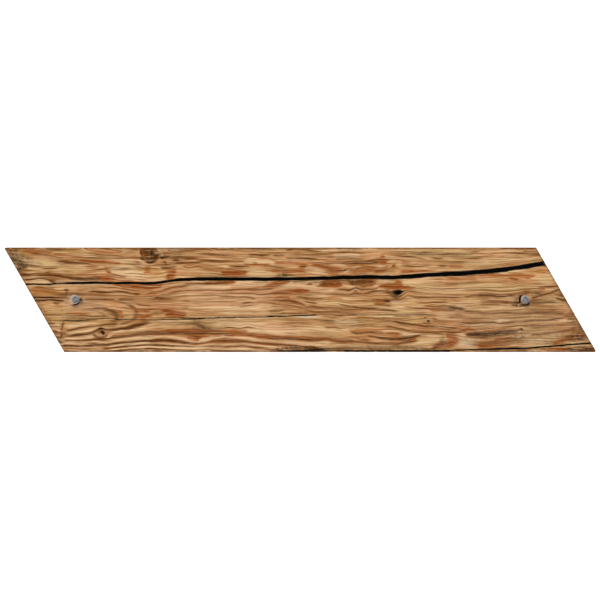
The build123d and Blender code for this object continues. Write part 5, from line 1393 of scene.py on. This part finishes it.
# The inks of the strokes, worn along the fibres, from the wide washes to the black of the cracks
worn = 1 + thread * 0.7 + band * 0.5
rust = feathered("rust", 0.7)
rust_tone = (0.85 - rust + band * 0.6 + grain * 0.5).held()
rust_colour = lay(printed(138, 68, 22), printed(194, 114, 54), rust_tone)
brown = feathered("brown", 0.45)
wood = lay(wood, printed(162, 102, 52), (ink_amount("amber") * worn * 0.58).held())
wood = lay(wood, printed(210, 174, 122), (ink_amount("khaki") * (0.8 + band * 0.8 + thread * 0.7)).held())
wood = lay(wood, printed(190, 136, 70), (ink_amount("gold") * (0.8 + band * 0.6 + thread * 0.6)).held())
wood = lay(wood, printed(234, 195, 150), (ink_amount("cream") * worn).held())
wood = lay(wood, printed(204, 142, 104), (ink_amount("rose") * worn).held())
wood = lay(wood, rust_colour, rust.step(0.06, 0.72))
wood = lay(wood, printed(140, 92, 28), (ink_amount("ochre") * worn).held())
wood = lay(wood, printed(110, 84, 54), (ink_amount("ash") * (1 + mottle(3, 3.1) * 1.3)).held())
wood = lay(wood, printed(136, 84, 42), (brown * 1.65).held())
wood = lay(wood, printed(80, 46, 18), (brown * 1.9 - 0.62).held())
burnt = ink_amount("burnt") * (0.7 + mottle(2.2, 5.5) * 1.5 + thread * 0.8)
wood = lay(wood, printed(52, 28, 8), burnt.held())
wood = lay(wood, printed(210, 194, 170), (ink_amount("chalk") * worn * 0.85).held())
wood = lay(wood, printed(232, 196, 150), (grain * 1.35 + hair * 0.7 - 0.16).held() * 0.95)
wood = lay(wood, printed(88, 54, 24), (0.0 - hair - grain * 1.25 - 0.02).held() * 0.95)
wood = lay(wood, printed(5, 2, 0), (ink_amount("black") * 2.2).held())

# Under the glaze: the bare body, a pale line of engobe below the arris, and kiln wash on the rib tops
body_colour = lay(printed(178, 152, 120), printed(160, 134, 102), (mottle(1.4, 7.7) * 0.6 + 0.4).held())
kiln_wash = (1 - z_mm.step(0.0, 0.3)) * (mottle(7, 6.1) * 0.9 + 0.6)
body_colour = lay(body_colour, printed(212, 206, 194), kiln_wash.held() * 0.8)
engobe = z_mm.step(FACE_LEVEL - ARRIS - 0.9, FACE_LEVEL - ARRIS - 0.5)
body_colour = lay(body_colour, printed(216, 204, 184), (engobe * (mottle(3, 9.4) * 0.5 + 0.8)).held())

# The nail heads, worn bright towards the light side of their rims
for nail_x, nail_y, nail_radius in NAILS:
    gone = ((x_mm - nail_x) ** 2 + (y_mm - nail_y) ** 2) ** 0.5 + mottle(2.2, nail_x) * 0.35
    head = 1 - gone.step(nail_radius - 0.35, nail_radius + 0.15)
    steel = lay(printed(142, 143, 144), printed(90, 91, 93), (mottle(1.6, 1.3) * 1.6 + 0.5).held())
    lit = ((y_mm - nail_y) - (x_mm - nail_x)) * 0.16 + 0.35
    steel = lay(steel, printed(188, 180, 166), (gone.step(nail_radius - 1.6, nail_radius) * lit).held())
    wood = lay(wood, steel, head)

# Darker brown towards the outline of the face and over the arris, mottled
outline_darkening = 1 - ink_amount("inset").step(0.2, 2.2)
wood = lay(wood, printed(96, 66, 38), (outline_darkening * (0.5 + mottle(3.5, 4.4) * 0.9)).held())
glazed = z_mm.step(FACE_LEVEL - ARRIS - 0.35, FACE_LEVEL - ARRIS)
surface = lay(body_colour, wood, glazed)

relief_bump = thread * 0.6 + hair * 0.4 + mottle(0.9, 2.2) * 0.3
bump = base.node("ShaderNodeBump", {}, {"Height": relief_bump, "Strength": 0.12, "Distance": 0.0002})
roughness = (0.5 + thread * 0.05 + (1 - glazed) * 0.3).held()
shader = base.node("ShaderNodeBsdfPrincipled", {}, {"Base Color": surface, "Roughness": roughness,
                                                    "Normal": bump, "IOR": 1.4,
                                                    "Specular IOR Level": 0.06})
output = tree.nodes.new("ShaderNodeOutputMaterial")
tree.links.new(shader.socket, output.inputs["Surface"])
body.materials.append(glaze)

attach(tile, "root")
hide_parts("tile")

# Floor, lights and camera
# A pale card lies flat on a level table, with four square softboxes round it and a weak, even sky.
# The camera hangs straight above the face on a long lens, as the photograph shows it.
FLOOR_HALF = 6.0
FLOOR_TONE = (0.86, 0.86, 0.86, 1)
FLOOR_GLOW = 0.45  # lifts the card to the photograph's plain white
WHITE = (1, 1, 1, 1)
SKY_LEVEL = 0.06
SKY_RIM = 0.3  # what the sky has more towards the horizon
SOFTBOX_DISTANCE = 1.6
SOFTBOX_SIZE = 0.9
SOFTBOX_POWER = 12.9
SOFTBOX_HEIGHT = math.radians(40)
SOFTBOX_TURNS = (35, 145, 215, 325)
LENS = 160
SENSOR = 36
VIEW_WIDTH = 516 * MM
VIEW_SHIFT = -0.17 * MM  # from the tile's middle to the photograph's, both ways
FAR_END = 50

floor_mesh = bpy.data.meshes.new("floor")
floor_mesh.from_pydata([(-FLOOR_HALF, -FLOOR_HALF, 0), (FLOOR_HALF, -FLOOR_HALF, 0),
                        (FLOOR_HALF, FLOOR_HALF, 0), (-FLOOR_HALF, FLOOR_HALF, 0)], [], [(0, 1, 2, 3)])
floor = bpy.data.objects.new("floor", floor_mesh)
bpy.context.scene.collection.objects.link(floor)
card = bpy.data.materials.new("white_card")
card.use_nodes = True
paper = card.node_tree.nodes["Principled BSDF"]
paper.inputs["Base Color"].default_value = FLOOR_TONE
paper.inputs["Roughness"].default_value = 0.9
paper.inputs["Emission Color"].default_value = WHITE
paper.inputs["Emission Strength"].default_value = FLOOR_GLOW
floor_mesh.materials.append(card)

scene = bpy.context.scene
scene.view_settings.view_transform = "Standard"
world = bpy.data.worlds.new("studio")
world.use_nodes = True
sky = Amount(world.node_tree, None)
direction = sky.node("ShaderNodeTexCoord")
upward = sky.node("ShaderNodeSeparateXYZ", {}, {0: direction}, out=2)
brightness = SKY_LEVEL + SKY_RIM * (1 - upward.step(0.3, 0.95))
background = world.node_tree.nodes["Background"]
world.node_tree.links.new(brightness.socket, background.inputs["Strength"])
background.inputs["Color"].default_value = WHITE
scene.world = world

for turn in SOFTBOX_TURNS:
    light = bpy.data.lights.new(f"softbox_{turn}", "AREA")
    light.shape = "SQUARE"
    light.size = SOFTBOX_SIZE
    light.energy = SOFTBOX_POWER
    lamp = bpy.data.objects.new(f"softbox_{turn}", light)
    heading = math.radians(turn)
    level = SOFTBOX_DISTANCE * math.cos(SOFTBOX_HEIGHT)
    lamp.location = (level * math.cos(heading), level * math.sin(heading),
                     SOFTBOX_DISTANCE * math.sin(SOFTBOX_HEIGHT))
    lamp.rotation_euler = (math.pi / 2 - SOFTBOX_HEIGHT, 0, heading + math.pi / 2)
    scene.collection.objects.link(lamp)

camera_data = bpy.data.cameras.new("camera")
camera_data.lens = LENS
camera_data.sensor_width = SENSOR
camera_data.clip_end = FAR_END
camera = bpy.data.objects.new("camera", camera_data)
camera.location = (VIEW_SHIFT, VIEW_SHIFT, THICKNESS * MM + VIEW_WIDTH * LENS / SENSOR)
scene.collection.objects.link(camera)
scene.camera = camera
